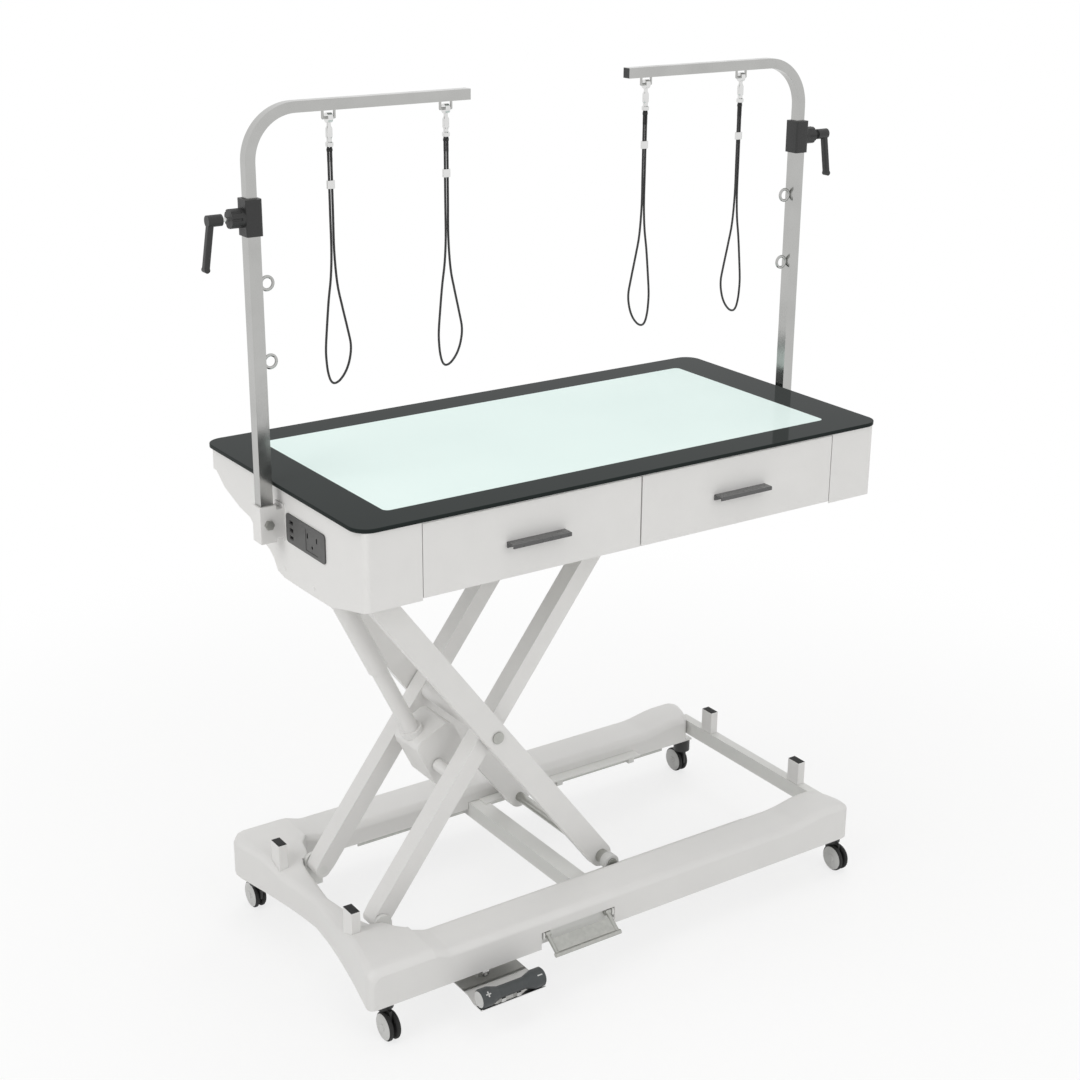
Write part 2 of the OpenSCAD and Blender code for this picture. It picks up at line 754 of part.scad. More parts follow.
module upper_rollers() color(black) {
    translate([roller_x, 0, top_pivot_z]) for (s = [-1, 1]) roller(s * upper_roller_y);
}

// Actuator: its axis runs from the motor pivot to the eye at the top

motor_at = [roller_x / 2 - pivot_x / 2 - motor_pivot * cos(lift_angle),
    pivot_z + rise / 2 - motor_pivot * sin(lift_angle)];
eye_at = [-pivot_x + ram_top[0], top_pivot_z + ram_top[1]];
ram_l = norm(eye_at - motor_at);
ram_angle = atan2(eye_at[1] - motor_at[1], eye_at[0] - motor_at[0]);
ram_tube_end = 285;
housing_back = 55;

// Local +X runs along the actuator, local +Z to its left
module at_motor() {
    translate([motor_at[0], 0, motor_at[1]]) rotate([0, -ram_angle, 0]) children();
}

module actuator_motor() color(paint_shade) at_motor() difference() {
    union() {
        translate([housing_l / 2 - housing_back, 0, -23]) across(housing_w) round_rect(housing_l, 94, 20);
        // Neck that holds the tube
        translate([housing_l - housing_back - 2, 0, 0]) rotate([0, 90, 0]) cylinder(d = ram_tube_d + 14, h = 12);
    }
    rod_y(16 + 2 * run_fit, -housing_w, housing_w);
    translate([30, 0, 0]) rotate([0, 90, 0]) cylinder(r = ram_tube_d / 2 + run_fit, h = housing_l);
}

module actuator_tube() color(paint) at_motor() difference() {
    translate([30, 0, 0]) rotate([0, 90, 0]) cylinder(d = ram_tube_d, h = ram_tube_end - 30);
    translate([40, 0, 0]) rotate([0, 90, 0]) cylinder(d = ram_tube_d - 6, h = ram_tube_end);
}

module actuator_sleeve() color(paint) at_motor() {
    foot = ram_l - 16 - ram_sleeve_l;
    difference() {
        translate([foot, 0, 0]) rotate([0, 90, 0]) cylinder(d = ram_sleeve_d, h = ram_sleeve_l);
        translate([foot - past, 0, 0]) rotate([0, 90, 0])
            cylinder(d = ram_sleeve_d - 2 * ram_wall, h = ram_sleeve_l - 9 + past);
    }
    translate([ram_l, 0, 0]) {
        across(2 * (fork_y - 5)) {
            circle(14);
            translate([-18, -14]) square([18, 28]);
        }
        rod_y(12, -fork_y + loose, fork_y - loose);
    }
}

// Table

frame_z0 = casing_z - frame_rail_h;
frame_rail_y = outer_face_y + 2;
frame_rail_w = 30;
frame_x0 = -530;
frame_x1 = 590;
// Middles of the two end members, and how deep a web is welded into its member
member_x0 = frame_x0 + 20;
member_x1 = frame_x1 - 30;
web_foot = 2;
track_y = upper_roller_y - roller_w / 2 - 3;
track_w = roller_w + 10;

module table_frame() color(paint_shade) {
    for (s = [0, 1]) mirror([0, s, 0]) {
        difference() {
            block([frame_x0, frame_rail_y, frame_z0], [frame_x1, frame_rail_y + frame_rail_w, casing_z]);
            block(
                [frame_x0 - past, frame_rail_y + 2, frame_z0 + 2],
                [frame_x1 + past, frame_rail_y + frame_rail_w - 2, casing_z - 2]
            );
        }
        // Cheek and stub pin of the table's fixed pivot
        translate([-pivot_x, frame_rail_y + 4, top_pivot_z]) across(8) {
            circle(14);
            translate([-14, 0]) square([28, frame_z0 - top_pivot_z]);
        }
        translate([-pivot_x, 0, top_pivot_z]) rod_y(pin_d, outer_y, frame_rail_y + 4);
    }
    for (x = [member_x0, roller_x_up, roller_x_down, member_x1])
        block([x - 15, -frame_rail_y, frame_z0 + (x == member_x0 ? 4 : 0)], [x + 15, frame_rail_y, casing_z]);
    // Webs that carry the sloping underside
    for (x = [member_x0, roller_x_up, member_x1]) translate([x, 0, 0]) along(4) tail_web();
    upper_tracks();
}

// Underside line of the casing: distance from the middle and height over the drawers' underside
tail_y = 0.08 * casing_w / 2;
tail_line = [
    [tail_y, 0], [0.27 * casing_w / 2, 0.18 * tail_rise], [0.66 * casing_w / 2, 0.59 * tail_rise],
    [0.95 * casing_w / 2, tail_rise], [casing_w / 2, tail_rise]
];

module tail_web() {
    low = [tail_line[0][0] + 4, casing_z];
    knee = [tail_line[1][0], casing_z + tail_line[1][1] - loose];
    polygon([
        low - (knee - low) * web_foot / (knee[1] - low[1]), knee,
        [frame_rail_y, casing_z + tail_line[1][1] + (frame_rail_y - tail_line[1][0])
            * (tail_line[2][1] - tail_line[1][1]) / (tail_line[2][0] - tail_line[1][0]) - loose],
        [frame_rail_y, casing_z - web_foot]
    ]);
}

// Channels that the upper rollers run in
module upper_tracks() {
    half = roller_d / 2 + track_gap;
    x0 = roller_x_up - roller_d / 2 - 12;
    x1 = roller_x_down + roller_d / 2 + 12;
    for (s = [0, 1]) mirror([0, s, 0]) translate([0, track_y, top_pivot_z]) difference() {
        block([x0, 0, -half - track_wall], [x1, track_w, half + track_wall]);
        block([x0 - past, track_wall, -half], [x1 + past, track_w + past, half]);
    }
}

// Cut that shapes the lower edge of the casing, as an outline in Y and Z
module under_cut() {
    half = casing_w / 2;
    down = [[-1, 0.08], [-0.95, 0.18], [-0.75, 0.56], [-0.57, 0.92], [-0.28, 0.98], [0.01, 1], [0.1, 0.85],
        [0.15, 0.3]];
    up = [[0.2, 0], [0.3, 0.08], [0.38, 0.19], [0.46, 0.34], [0.6, 0.4], [0.81, 0.58], [0.93, 0.8], [1, 0.8]];
    polygon(concat(
        [[-half - past, casing_z - 0.08 * skirt]],
        [for (p = down) [p[0] * half, casing_z - p[1] * skirt]],
        [for (p = up) [p[0] * half, casing_z + p[1] * tail_rise]],
        [[half + past, casing_z + 0.8 * tail_rise], [half + past, casing_z - 2 * skirt],
            [-half - past, casing_z - 2 * skirt]]
    ));
}

outlet_y = -94;
outlet_l = 154;
outlet_h = 58;
outlet_z = casing_z + 72;
socket_y = outlet_y - 26;
port_y = outlet_y + 55;

module casing_shell() color(paint) {
    difference() {
        translate([0, 0, casing_z - skirt]) linear_extrude(casing_h + skirt) difference() {
            round_rect(casing_l, casing_w, casing_r);
            round_rect(casing_l - 2 * sheet, casing_w - 2 * sheet, casing_r - sheet);
        }
        along(casing_l + 2) under_cut();
        // Opening for the drawer fronts
        block(
            [-drawer_span, front_y - past, casing_z - 2 * skirt],
            [drawer_span, front_y + sheet + past, casing_top_z - sheet]
        );
        // Opening behind the outlet panel
        block(
            [-casing_l / 2 - past, outlet_y - outlet_l / 2 + 6, outlet_z - outlet_h / 2 + 6],
            [-casing_l / 2 + sheet + past, outlet_y + outlet_l / 2 - 6, outlet_z + outlet_h / 2 - 6]
        );
    }
    // Flange that the glass lies on
    translate([0, 0, casing_top_z - sheet]) linear_extrude(sheet) difference() {
        round_rect(casing_l - sheet, casing_w - sheet, casing_r - sheet / 2);
        round_rect(panel_l + 4, panel_w + 4, 8);
    }
    // Walls beside the drawers
    for (x = [-drawer_span, 0, drawer_span]) block(
        [x - sheet / 2, front_y + front_t + 2, casing_z + sheet + 0.1],
        [x + sheet / 2, tail_y - 0.5, tray_z - 0.1]
    );
}

module underside_pan() color(paint_shade) {
    up = [for (p = tail_line) [min(p[0], casing_w / 2 - sheet - loose), casing_z + p[1]]];
    n = len(up);
    difference() {
        intersection() {
            along(casing_l - 2 * sheet - 2 * loose) polygon(concat(
                [[front_y + sheet + loose, casing_z]], up,
                [for (i = [n - 1 : -1 : 0]) [up[i][0] - (i > 0 && i < n - 1 ? 0.6 : 0), up[i][1] + sheet]],
                [[front_y + sheet + loose, casing_z + sheet]]
            ));
            translate([0, 0, casing_z - 1]) linear_extrude(tail_rise + 10)
                round_rect(casing_l - 2 * sheet - 2 * loose, casing_w - 2 * sheet - 2 * loose, casing_r - sheet);
        }
        // Room for the drawer fronts
        block([-drawer_span, front_y - past, casing_z - past], [drawer_span, front_y + front_t + 1, casing_z + sheet + past]);
    }
}

module glass_top() color(glass_black) translate([0, 0, casing_top_z + 0.05])
    linear_extrude(glass_t - 0.05) round_rect(top_l, top_w, top_r);

// Lit panel and the tray of lamps under it
module light_panel() {
    color(mint) translate([0, 0, casing_top_z - panel_t]) linear_extrude(panel_t) round_rect(panel_l, panel_w, 6);
    color(paint) translate([0, 0, tray_z]) difference() {
        linear_extrude(tray_h) round_rect(panel_l - 6, panel_w - 6, 6);
        translate([0, 0, 2]) linear_extrude(tray_h) round_rect(panel_l - 10, panel_w - 10, 4);
    }
}

control_front = 260;
control_w = 180;
control_h = 55;

module control_box() color(black) {
    z = casing_z + sheet;
    block([drawer_span + 12, -control_front, z], [casing_l / 2 - sheet - 10, control_w - control_front, z + control_h]);
}

// Panel with the power outlet and the charging ports, in the left end
module outlet_panel() color(paint_shade) {
    x = -casing_l / 2;
    difference() {
        translate([x - 1.5, outlet_y, outlet_z]) along(3) round_rect(outlet_l, outlet_h, 8);
        block([x - 4, socket_y - 24, outlet_z - 22], [x + 1, socket_y + 24, outlet_z + 20]);
        for (k = [-1 : 1]) translate([0, 0, outlet_z - 1 + 15 * k]) block([x - 4, port_y - 7, -4], [x + 1, port_y + 7, 4]);
    }
}

module outlet_inserts() color(black) {
    x = -casing_l / 2;
    difference() {
        block([x - 2, socket_y - 24 + loose, outlet_z - 22 + loose], [x + 24, socket_y + 24 - loose, outlet_z + 20 - loose]);
        // Slots and round hole of the outlet
        for (s = [-1, 1]) block([x - 3, socket_y + s * 18 - 2, outlet_z + 2], [x + 16, socket_y + s * 18 + 2, outlet_z + 12]);
        translate([0, socket_y, outlet_z - 11]) rod_x(6, x - 3, x + 16);
    }
    for (k = [-1 : 1]) translate([0, 0, outlet_z - 1 + 15 * k]) difference() {
        block([x - 2, port_y - 7 + loose, -4 + loose], [x + 16, port_y + 7 - loose, 4 - loose]);
        block([x - 3, port_y - 5, -2], [x + 8, port_y + 5, 2]);
    }
}

// Drawers

box_half = drawer_span / 2 - sheet / 2 - 2 * runner_t - 3 * loose;
box_z = casing_z + 10;
box_back = front_y + front_t + drawer_depth;
runner_z = box_z + 22;

module drawer(s) color(paint) translate([s * drawer_span / 2, 0, 0]) {
    wall = 1.5;
    block(
        [-drawer_span / 2 + front_gap / 2, front_y, casing_z + 1],
        [drawer_span / 2 - front_gap / 2, front_y + front_t, casing_top_z - sheet - 1]
    );
    difference() {
        block([-box_half, front_y + front_t, box_z], [box_half, box_back, box_z + drawer_box_h]);
        block([-box_half + wall, front_y + front_t - past, box_z + wall], [box_half - wall, box_back - wall, box_z + drawer_box_h + past]);
    }
    // Moving halves of the runners
    for (m = [0, 1]) mirror([m, 0, 0]) block(
        [box_half, front_y + front_t + 4, runner_z],
        [box_half + runner_t, box_back, runner_z + runner_h]
    );
}

module drawer_left() drawer(-1);
module drawer_right() drawer(1);

module drawer_slides() color(steel) {
    for (s = [-1, 1]) translate([s * drawer_span / 2, 0, 0]) for (m = [0, 1]) mirror([m, 0, 0]) block(
        [box_half + runner_t + loose, front_y + front_t + 4, runner_z],
        [drawer_span / 2 - sheet / 2, box_back, runner_z + runner_h]
    );
}

// Ledge handle: a flat plate with a lip that the fingers hook behind
module drawer_handle(s) color("#4a4a4a") translate([s * drawer_span / 2, front_y, casing_z + 74]) {
    half = handle_l / 2;
    block([-half, -handle_out, -3], [half, 0, 0]);
    block([-half, -handle_out, -8], [half, 3 - handle_out, -3]);
    block([-half, -3, -12], [half, 0, -3]);
}

module drawer_handle_left() drawer_handle(-1);
module drawer_handle_right() drawer_handle(1);

// Overhead arms

module at_mast(s) {
    translate([s * mast_x, mast_y, 0]) mirror([s > 0 ? 0 : 1, 0, 0]) children();
}

socket_wall = 4;
socket_z0 = glass_z - 114;
socket_z1 = glass_z - 42;

// Sleeve that holds a post to the end of the casing
module arm_socket() {
    out = post_s / 2 + loose + socket_wall;
    hole = post_s / 2 + loose;
    wall_x = casing_l / 2 - mast_x;
    bolt_z = socket_z0 + 37;
    color(paint_shade) difference() {
        union() {
            block([-out, -out, socket_z0], [out, out, socket_z1]);
            block([wall_x, -out, socket_z0], [wall_x + 3, out, socket_z1]);
            block([wall_x, -out, socket_z0 + 8], [-out + 1, out, socket_z1 - 8]);
        }
        block([-hole, -hole, socket_z0 - past], [hole, hole, socket_z1 + past]);
        translate([0, 0, bolt_z]) rod_y(10 + 2 * run_fit, -out - past, 0);
    }
    color(steel) translate([0, 0, bolt_z]) {
        rod_y(10, -out - 2, -post_s / 2 - 0.1);
        translate([0, -out, 0]) rotate([90, 0, 0]) cylinder(d = 19, h = 7, $fn = 6);
    }
}

module arm_sockets() for (s = [-1, 1]) at_mast(s) arm_socket();

post_z = glass_z - post_foot;
function post_len(s) = post_l + (s > 0 ? post_extra_right : 0);
clamp_grip = 40;
function clamp_z(s) = post_z + post_len(s) - clamp_grip + loose;
function boom_z(s) = clamp_z(s) + (s > 0 ? boom_out_right : boom_out_left);
eye_ring_r = 12;
eye_wire = 6;

module square_tube(s, l) {
    linear_extrude(l) difference() {
        square(s, center = true);
        square(s - 2 * mast_wall, center = true);
    }
}

module lower_post(s) color(chrome) at_mast(s) translate([0, 0, post_z]) {
    square_tube(post_s, post_len(s));
    // Rings on the inner side of the post
    for (z = [274, 129]) translate([-post_s / 2 - eye_ring_r - eye_wire / 2 + 1, 0, post_len(s) - z])
        rotate([90, 0, 0]) rotate_extrude() translate([eye_ring_r, 0]) circle(d = eye_wire);
}

boss_d = 35;
boss_l = 26;
stem_d = 8;
clamp_out_x = 16;
clamp_out_y = 18.5;
lever_gap = 14;
hub_l = 28;
hub_d = 21;

module clamp_sleeve(s) color(black) at_mast(s) translate([0, 0, clamp_z(s)]) {
    post_hole = post_s + 2 * loose;
    boom_hole = boom_s + 2 * loose;
    difference() {
        union() {
            linear_extrude(clamp_h) round_rect(2 * clamp_out_x, 2 * clamp_out_y, 4);
            translate([0, 0, clamp_h / 2]) rod_x(boss_d, clamp_out_x - 1, clamp_out_x + boss_l);
        }
        translate([0, 0, clamp_grip / 2 - past]) cube([post_hole, post_hole, clamp_grip + 2 * past], center = true);
        translate([0, 0, clamp_h / 2]) cube([boom_hole, boom_hole, clamp_h + 2 * past], center = true);
        translate([0, 0, clamp_h / 2]) rod_x(stem_d + 2 * run_fit, 0, clamp_out_x + boss_l + past);
        // Flutes round the knob
        for (a = [0 : 45 : 315]) translate([clamp_out_x + 6, 0, clamp_h / 2]) rotate([a, 0, 0])
            translate([0, boss_d / 2 + 1, 0]) rod_x(5, 0, boss_l);
    }
}

module clamp_lever(s) at_mast(s) translate([0, 0, clamp_z(s) + clamp_h / 2]) {
    hub_x = clamp_out_x + boss_l + lever_gap;
    color(chrome) rod_x(stem_d, post_s / 2 + loose, hub_x + 1);
    color(black) {
        rod_x(hub_d, hub_x, hub_x + hub_l);
        // Handle, leaning a little outwards
        translate([hub_x + hub_l - 7, 0, 0]) rotate([0, 180 - 9, 0]) {
            translate([0, 0, 6]) linear_extrude(80) round_rect(11, 14, 3);
            translate([0, 0, 86]) rotate([90, 0, 0]) cylinder(d = 11, h = 14, center = true);
        }
    }
}

module lower_post_left() lower_post(-1);
module lower_post_right() lower_post(1);
module clamp_sleeve_left() clamp_sleeve(-1);
module clamp_sleeve_right() clamp_sleeve(1);
module clamp_lever_left() clamp_lever(-1);
module clamp_lever_right() clamp_lever(1);

staple_h = 14;
staple_half = 12;
staple_d = 5;

module tube_section(s) {
    difference() {
        square(s, center = true);
        square(s - 2 * mast_wall, center = true);
    }
}

// Upper arm: it slides in the post, bends over and ends in a plug
module upper_arm(s) at_mast(s) translate([0, 0, boom_z(s)]) {
    inside = 320;
    leg = boom_out_left - boom_r - clamp_h;
    color(chrome) {
        translate([0, 0, -boom_r - leg - clamp_h - inside]) linear_extrude(leg + clamp_h + inside) tube_section(boom_s);
        translate([-boom_r, 0, -boom_r]) rotate([90, 0, 0]) rotate_extrude(angle = 90)
            translate([boom_r, 0]) tube_section(boom_s);
        translate([-boom_r, 0, 0]) rotate([0, -90, 0]) linear_extrude(boom_reach - boom_r) tube_section(boom_s);
        for (x = [noose_1, noose_2]) translate([-x, 0, -boom_s / 2]) staple();
    }
    color(black) {
        block([-boom_reach - 4, -boom_s / 2, -boom_s / 2], [-boom_reach, boom_s / 2, boom_s / 2]);
        translate([-boom_reach + 6, 0, 0]) cube([12, boom_s - 2 * mast_wall, boom_s - 2 * mast_wall], center = true);
    }
}

// Welded staple that a noose hangs from
module staple() {
    for (s = [-1, 1]) translate([s * staple_half, 0, -staple_h]) cylinder(d = staple_d, h = staple_h + 0.5);
    for (s = [-1, 1]) translate([s * staple_half, 0, -staple_h]) sphere(d = staple_d);
    translate([0, 0, -staple_h]) rod_x(staple_d, -staple_half, staple_half);
}

module upper_arm_left() upper_arm(-1);
module upper_arm_right() upper_arm(1);

// Nooses: hook, cord and slider, from the bar of the staple down
hook_l = 51;
slider_drop = 68;
slider_h = 15;
strand = (cord_d + 0.8) / 2;

module at_noose(s, reach) {
    at_mast(s) translate([-reach, 0, boom_z(s) - boom_s / 2 - staple_h]) children();
}

module noose_hook(s, reach) color(chrome) at_noose(s, reach) {
    difference() {
        union() {
            rod_x(18, -5, 5);
            translate([0, 0, -hook_l]) rotate_extrude() polygon([
                [0, 0], [7, 0], [7.5, 3], [7.5, 7], [5, 9], [5, 14], [6.5, 17], [6.5, 32], [4, 37], [4, 46], [0, 46]
            ]);
        }
        rod_x(staple_d + 2 * run_fit, -10, 10);
    }
}

// Route of the cord below its hook: along the boom, away from the post, and down
noose_route = [
    [0, 0], [0, -60], [0, -125], [0, -190], [3, -238], [9, -280], [14, -326], [18, -370], [17.5, -396],
    [15, -417], [10, -433], [2, -439], [-10, -434], [-23, -418], [-31.5, -396], [-34.5, -370], [-29, -340],
    [-18, -291], [-10, -250], [-2 * strand, -190], [-2 * strand, -125], [-2 * strand, -60], [-2 * strand, 0]
];

// Tube swept along a route in X and Z
module cord_tube(route, d, sides) {
    last = len(route) - 1;
    loft([for (i = [0 : last]) let (
        a = route[max(0, i - 1)],
        b = route[min(last, i + 1)],
        t = (b - a) / norm(b - a)
    ) [for (k = [0 : sides - 1]) let (w = 360 * k / sides)
        [route[i][0] - t[1] * cos(w) * d / 2, sin(w) * d / 2, route[i][1] + t[0] * cos(w) * d / 2]]]);
}

module noose_cord(s, reach) color(black) at_noose(s, reach) translate([strand, 0, -hook_l])
    cord_tube(noose_route, cord_d, 8);

module noose_slider(s, reach) color(chrome) at_noose(s, reach) translate([0, 0, -hook_l - slider_drop - slider_h / 2])
    linear_extrude(slider_h) difference() {
        translate([-strand - 1, 0]) stadium(2 * strand + 2, cord_d + 4);
        for (m = [-1, 1]) translate([m * strand, 0]) circle(cord_d / 2 + 0.15);
    }

module noose_hook_left_outer() noose_hook(-1, noose_1);
module noose_hook_left_inner() noose_hook(-1, noose_2);
module noose_hook_right_inner() noose_hook(1, noose_2);
module noose_hook_right_outer() noose_hook(1, noose_1);
module noose_cord_left_outer() noose_cord(-1, noose_1);
module noose_cord_left_inner() noose_cord(-1, noose_2);
module noose_cord_right_inner() noose_cord(1, noose_2);
module noose_cord_right_outer() noose_cord(1, noose_1);
module noose_slider_left_outer() noose_slider(-1, noose_1);
module noose_slider_left_inner() noose_slider(-1, noose_2);
module noose_slider_right_inner() noose_slider(1, noose_2);
module noose_slider_right_outer() noose_slider(1, noose_1);

module caster_fork_front_left() caster_fork(-caster_left, -1);
module caster_fork_front_right() caster_fork(caster_right, -1);
module caster_fork_rear_left() caster_fork(-caster_left, 1);
module caster_fork_rear_right() caster_fork(caster_right, 1);
module caster_wheel_front_left() caster_wheel(-caster_left, -1);
module caster_wheel_front_right() caster_wheel(caster_right, -1);
module caster_wheel_rear_left() caster_wheel(-caster_left, 1);
module caster_wheel_rear_right() caster_wheel(caster_right, 1);

base_frame();
front_rail_cover();
rear_rail_cover();
left_end_cover();
rest_posts();
brake_rod();
pedal_plate();
rocker_pedal();
brake_lever();
inner_arms();
pivot_pins();
outer_arms();
roller_shaft();
lower_rollers();
upper_rollers();
actuator_motor();
actuator_tube();
actuator_sleeve();
table_frame();
casing_shell();
underside_pan();
glass_top();
light_panel();
control_box();
outlet_panel();
outlet_inserts();
arm_sockets();
drawer_slides();
drawer_left();
drawer_right();
drawer_handle_left();
drawer_handle_right();
lower_post_left();
lower_post_right();
clamp_sleeve_left();
clamp_sleeve_right();
clamp_lever_left();
clamp_lever_right();
upper_arm_left();
upper_arm_right();
noose_hook_left_outer();
noose_hook_left_inner();
noose_hook_right_inner();
noose_hook_right_outer();
noose_cord_left_outer();
noose_cord_left_inner();
noose_cord_right_inner();
noose_cord_right_outer();
noose_slider_left_outer();
noose_slider_left_inner();
noose_slider_right_inner();
noose_slider_right_outer();
caster_fork_front_left();
caster_fork_front_right();
caster_fork_rear_left();
caster_fork_rear_right();
caster_wheel_front_left();
caster_wheel_front_right();
caster_wheel_rear_left();
caster_wheel_rear_right();
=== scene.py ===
"""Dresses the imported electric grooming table: finishes, cords, small fittings, studio and camera."""
import json
import math

import bmesh
import bpy
from mathutils import Matrix, Vector


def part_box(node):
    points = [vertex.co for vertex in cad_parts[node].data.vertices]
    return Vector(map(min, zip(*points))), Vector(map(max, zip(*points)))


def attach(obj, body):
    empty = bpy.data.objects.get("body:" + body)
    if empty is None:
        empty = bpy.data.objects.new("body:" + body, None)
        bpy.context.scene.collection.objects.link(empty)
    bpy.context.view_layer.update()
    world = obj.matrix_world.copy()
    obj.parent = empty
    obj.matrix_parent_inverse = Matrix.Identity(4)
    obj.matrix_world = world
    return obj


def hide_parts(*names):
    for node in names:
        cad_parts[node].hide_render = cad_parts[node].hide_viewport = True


bl_info = {
    "name": "Electric Grooming Table",
    "version": (1, 0, 0),
    "blender": (4, 5, 0),
    "location": "View3D > Sidebar > Grooming Table",
    "description": "Finishes, cords and fittings of a lit electric grooming table",
    "category": "Object",
}

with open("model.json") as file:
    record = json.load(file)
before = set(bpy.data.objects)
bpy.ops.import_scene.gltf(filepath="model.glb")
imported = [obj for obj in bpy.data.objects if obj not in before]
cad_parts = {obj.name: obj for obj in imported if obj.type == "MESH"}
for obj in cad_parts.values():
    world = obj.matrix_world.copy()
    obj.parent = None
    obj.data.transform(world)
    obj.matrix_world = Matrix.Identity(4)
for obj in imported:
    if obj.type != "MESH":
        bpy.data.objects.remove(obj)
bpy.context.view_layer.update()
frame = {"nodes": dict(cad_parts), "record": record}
BODY_OF = {node: body for body, nodes in frame["record"]["behaviour"]["bodies"].items() for node in nodes}
MM = 0.001


# Small tools

def linear(code):
    """Turns an sRGB hex value into the linear colour that a shader wants."""
    parts = [int(code[i:i + 2], 16) / 255 for i in (1, 3, 5)]
    return tuple(c / 12.92 if c <= 0.04045 else ((c + 0.055) / 1.055) ** 2.4 for c in parts) + (1.0,)


def add(tree, kind, links=None, **settings):
    """Adds a node, sets its fields and inputs, and links other nodes' outputs into it."""
    node = tree.nodes.new(kind)
    for name, value in settings.items():
        if name.startswith("in_"):
            key = name[3:]
            node.inputs[int(key) if key.isdigit() else key.replace("_", " ")].default_value = value
        else:
            setattr(node, name, value)
    for socket, source in (links or {}).items():
        tree.links.new(source, node.inputs[socket])
    return node


def any_ray(tree, ray, *kinds):
    """One for rays of any of the named kinds, else zero."""
    seen = ray.outputs[kinds[0]]
    for kind in kinds[1:]:
        seen = add(tree, "ShaderNodeMath", {0: seen, 1: ray.outputs[kind]}, operation="MAXIMUM").outputs[0]
    return seen


def blank(name):
    """Starts a material with only its output node."""
    mat = bpy.data.materials.new(name)
    mat.use_nodes = True
    mat.node_tree.nodes.clear()
    return mat, mat.node_tree, mat.node_tree.nodes.new("ShaderNodeOutputMaterial")


def surface(name, colour, second=None, metallic=0.0, roughness=0.5, spread=0.06, blotch_mm=60, grain_mm=0.8,
            grain_height=0.03, stretch=(1, 1, 1), coat=0.0):
    """A finish with broad colour blotches, a grain in its relief and a gloss that varies a little."""
    mat, tree, out = blank(name)
    place = add(tree, "ShaderNodeTexCoord").outputs["Object"]
    grain_place = add(tree, "ShaderNodeMapping", {"Vector": place}, in_Scale=stretch).outputs["Vector"]
    blotch = add(tree, "ShaderNodeTexNoise", {"Vector": place}, in_Scale=1 / (blotch_mm * MM), in_Detail=3.0)
    grain = add(tree, "ShaderNodeTexNoise", {"Vector": grain_place}, in_Scale=1 / (grain_mm * MM), in_Detail=2.0)
    tone = add(tree, "ShaderNodeMix", {0: blotch.outputs["Fac"]}, data_type="RGBA",
               in_6=linear(colour), in_7=linear(second or colour))
    gloss = add(tree, "ShaderNodeMapRange", {"Value": blotch.outputs["Fac"]}, in_1=0.3, in_2=0.7,
                in_3=max(0.02, roughness - spread), in_4=roughness + spread)
    relief = add(tree, "ShaderNodeBump", {"Height": grain.outputs["Fac"]},
                 in_Strength=0.6, in_Distance=grain_height * MM)
    shader = add(tree, "ShaderNodeBsdfPrincipled", {
        "Base Color": tone.outputs[2], "Roughness": gloss.outputs["Result"], "Normal": relief.outputs["Normal"],
    }, in_Metallic=metallic, in_IOR=1.5, in_Coat_Weight=coat, in_Coat_Roughness=0.08)
    tree.links.new(shader.outputs[0], out.inputs[0])
    return mat


GLASS_IOR = 1.52
PRINT_EDGE = 0.0004
# How much the glass mirrors, low because the photograph shows it nearly flat, and how much the panel shines
GLASS_SHINE = 0.02
PANEL_GLOW = 0.02


def glass_surface(half_l, half_w, radius):
    """Tempered glass with black enamel baked on its back round the edge, and a lit diffuser under the rest."""
    mat, tree, out = blank("tempered glass with enamelled border")
    place = add(tree, "ShaderNodeTexCoord").outputs["Object"]
    axes = add(tree, "ShaderNodeSeparateXYZ", {0: place})

    def past(socket, half):
        away = add(tree, "ShaderNodeMath", {0: socket}, operation="ABSOLUTE").outputs[0]
        less = add(tree, "ShaderNodeMath", {0: away}, operation="SUBTRACT", in_1=half - radius).outputs[0]
        return add(tree, "ShaderNodeMath", {0: less}, operation="MAXIMUM", in_1=0.0).outputs[0]

    corner = add(tree, "ShaderNodeCombineXYZ", {0: past(axes.outputs[0], half_l), 1: past(axes.outputs[1], half_w)})
    reach = add(tree, "ShaderNodeVectorMath", {0: corner.outputs[0]}, operation="LENGTH").outputs["Value"]
    # The enamel's printed edge is crisp: the change takes less than a millimetre
    mask = add(tree, "ShaderNodeMapRange", {"Value": reach}, in_1=radius - PRINT_EDGE, in_2=radius + PRINT_EDGE,
               in_3=1.0, in_4=0.0)
    # The lit part isn't quite even
    cloud = add(tree, "ShaderNodeTexNoise", {"Vector": place}, in_Scale=3.0, in_Detail=1.0)
    lit = add(tree, "ShaderNodeMix", {0: cloud.outputs["Fac"]}, data_type="RGBA",
              in_6=linear("#d6e6e2"), in_7=linear("#e2f0ec"))
    smear = add(tree, "ShaderNodeTexNoise", {"Vector": place}, in_Scale=9.0, in_Detail=4.0)
    gloss = add(tree, "ShaderNodeMapRange", {"Value": smear.outputs["Fac"]},
                in_1=0.3, in_2=0.7, in_3=0.03, in_4=0.1)
    enamel = add(tree, "ShaderNodeBsdfPrincipled", {"Roughness": gloss.outputs["Result"]},
                 in_Base_Color=linear("#282d2c"), in_IOR=GLASS_IOR, in_Specular_IOR_Level=GLASS_SHINE)
    panel = add(tree, "ShaderNodeBsdfPrincipled", {
        "Base Color": lit.outputs[2], "Emission Color": lit.outputs[2], "Roughness": gloss.outputs["Result"],
    }, in_Emission_Strength=PANEL_GLOW, in_IOR=GLASS_IOR, in_Specular_IOR_Level=GLASS_SHINE)
    both = add(tree, "ShaderNodeMixShader", {0: mask.outputs["Result"], 1: enamel.outputs[0], 2: panel.outputs[0]})
    tree.links.new(both.outputs[0], out.inputs[0])
    return mat


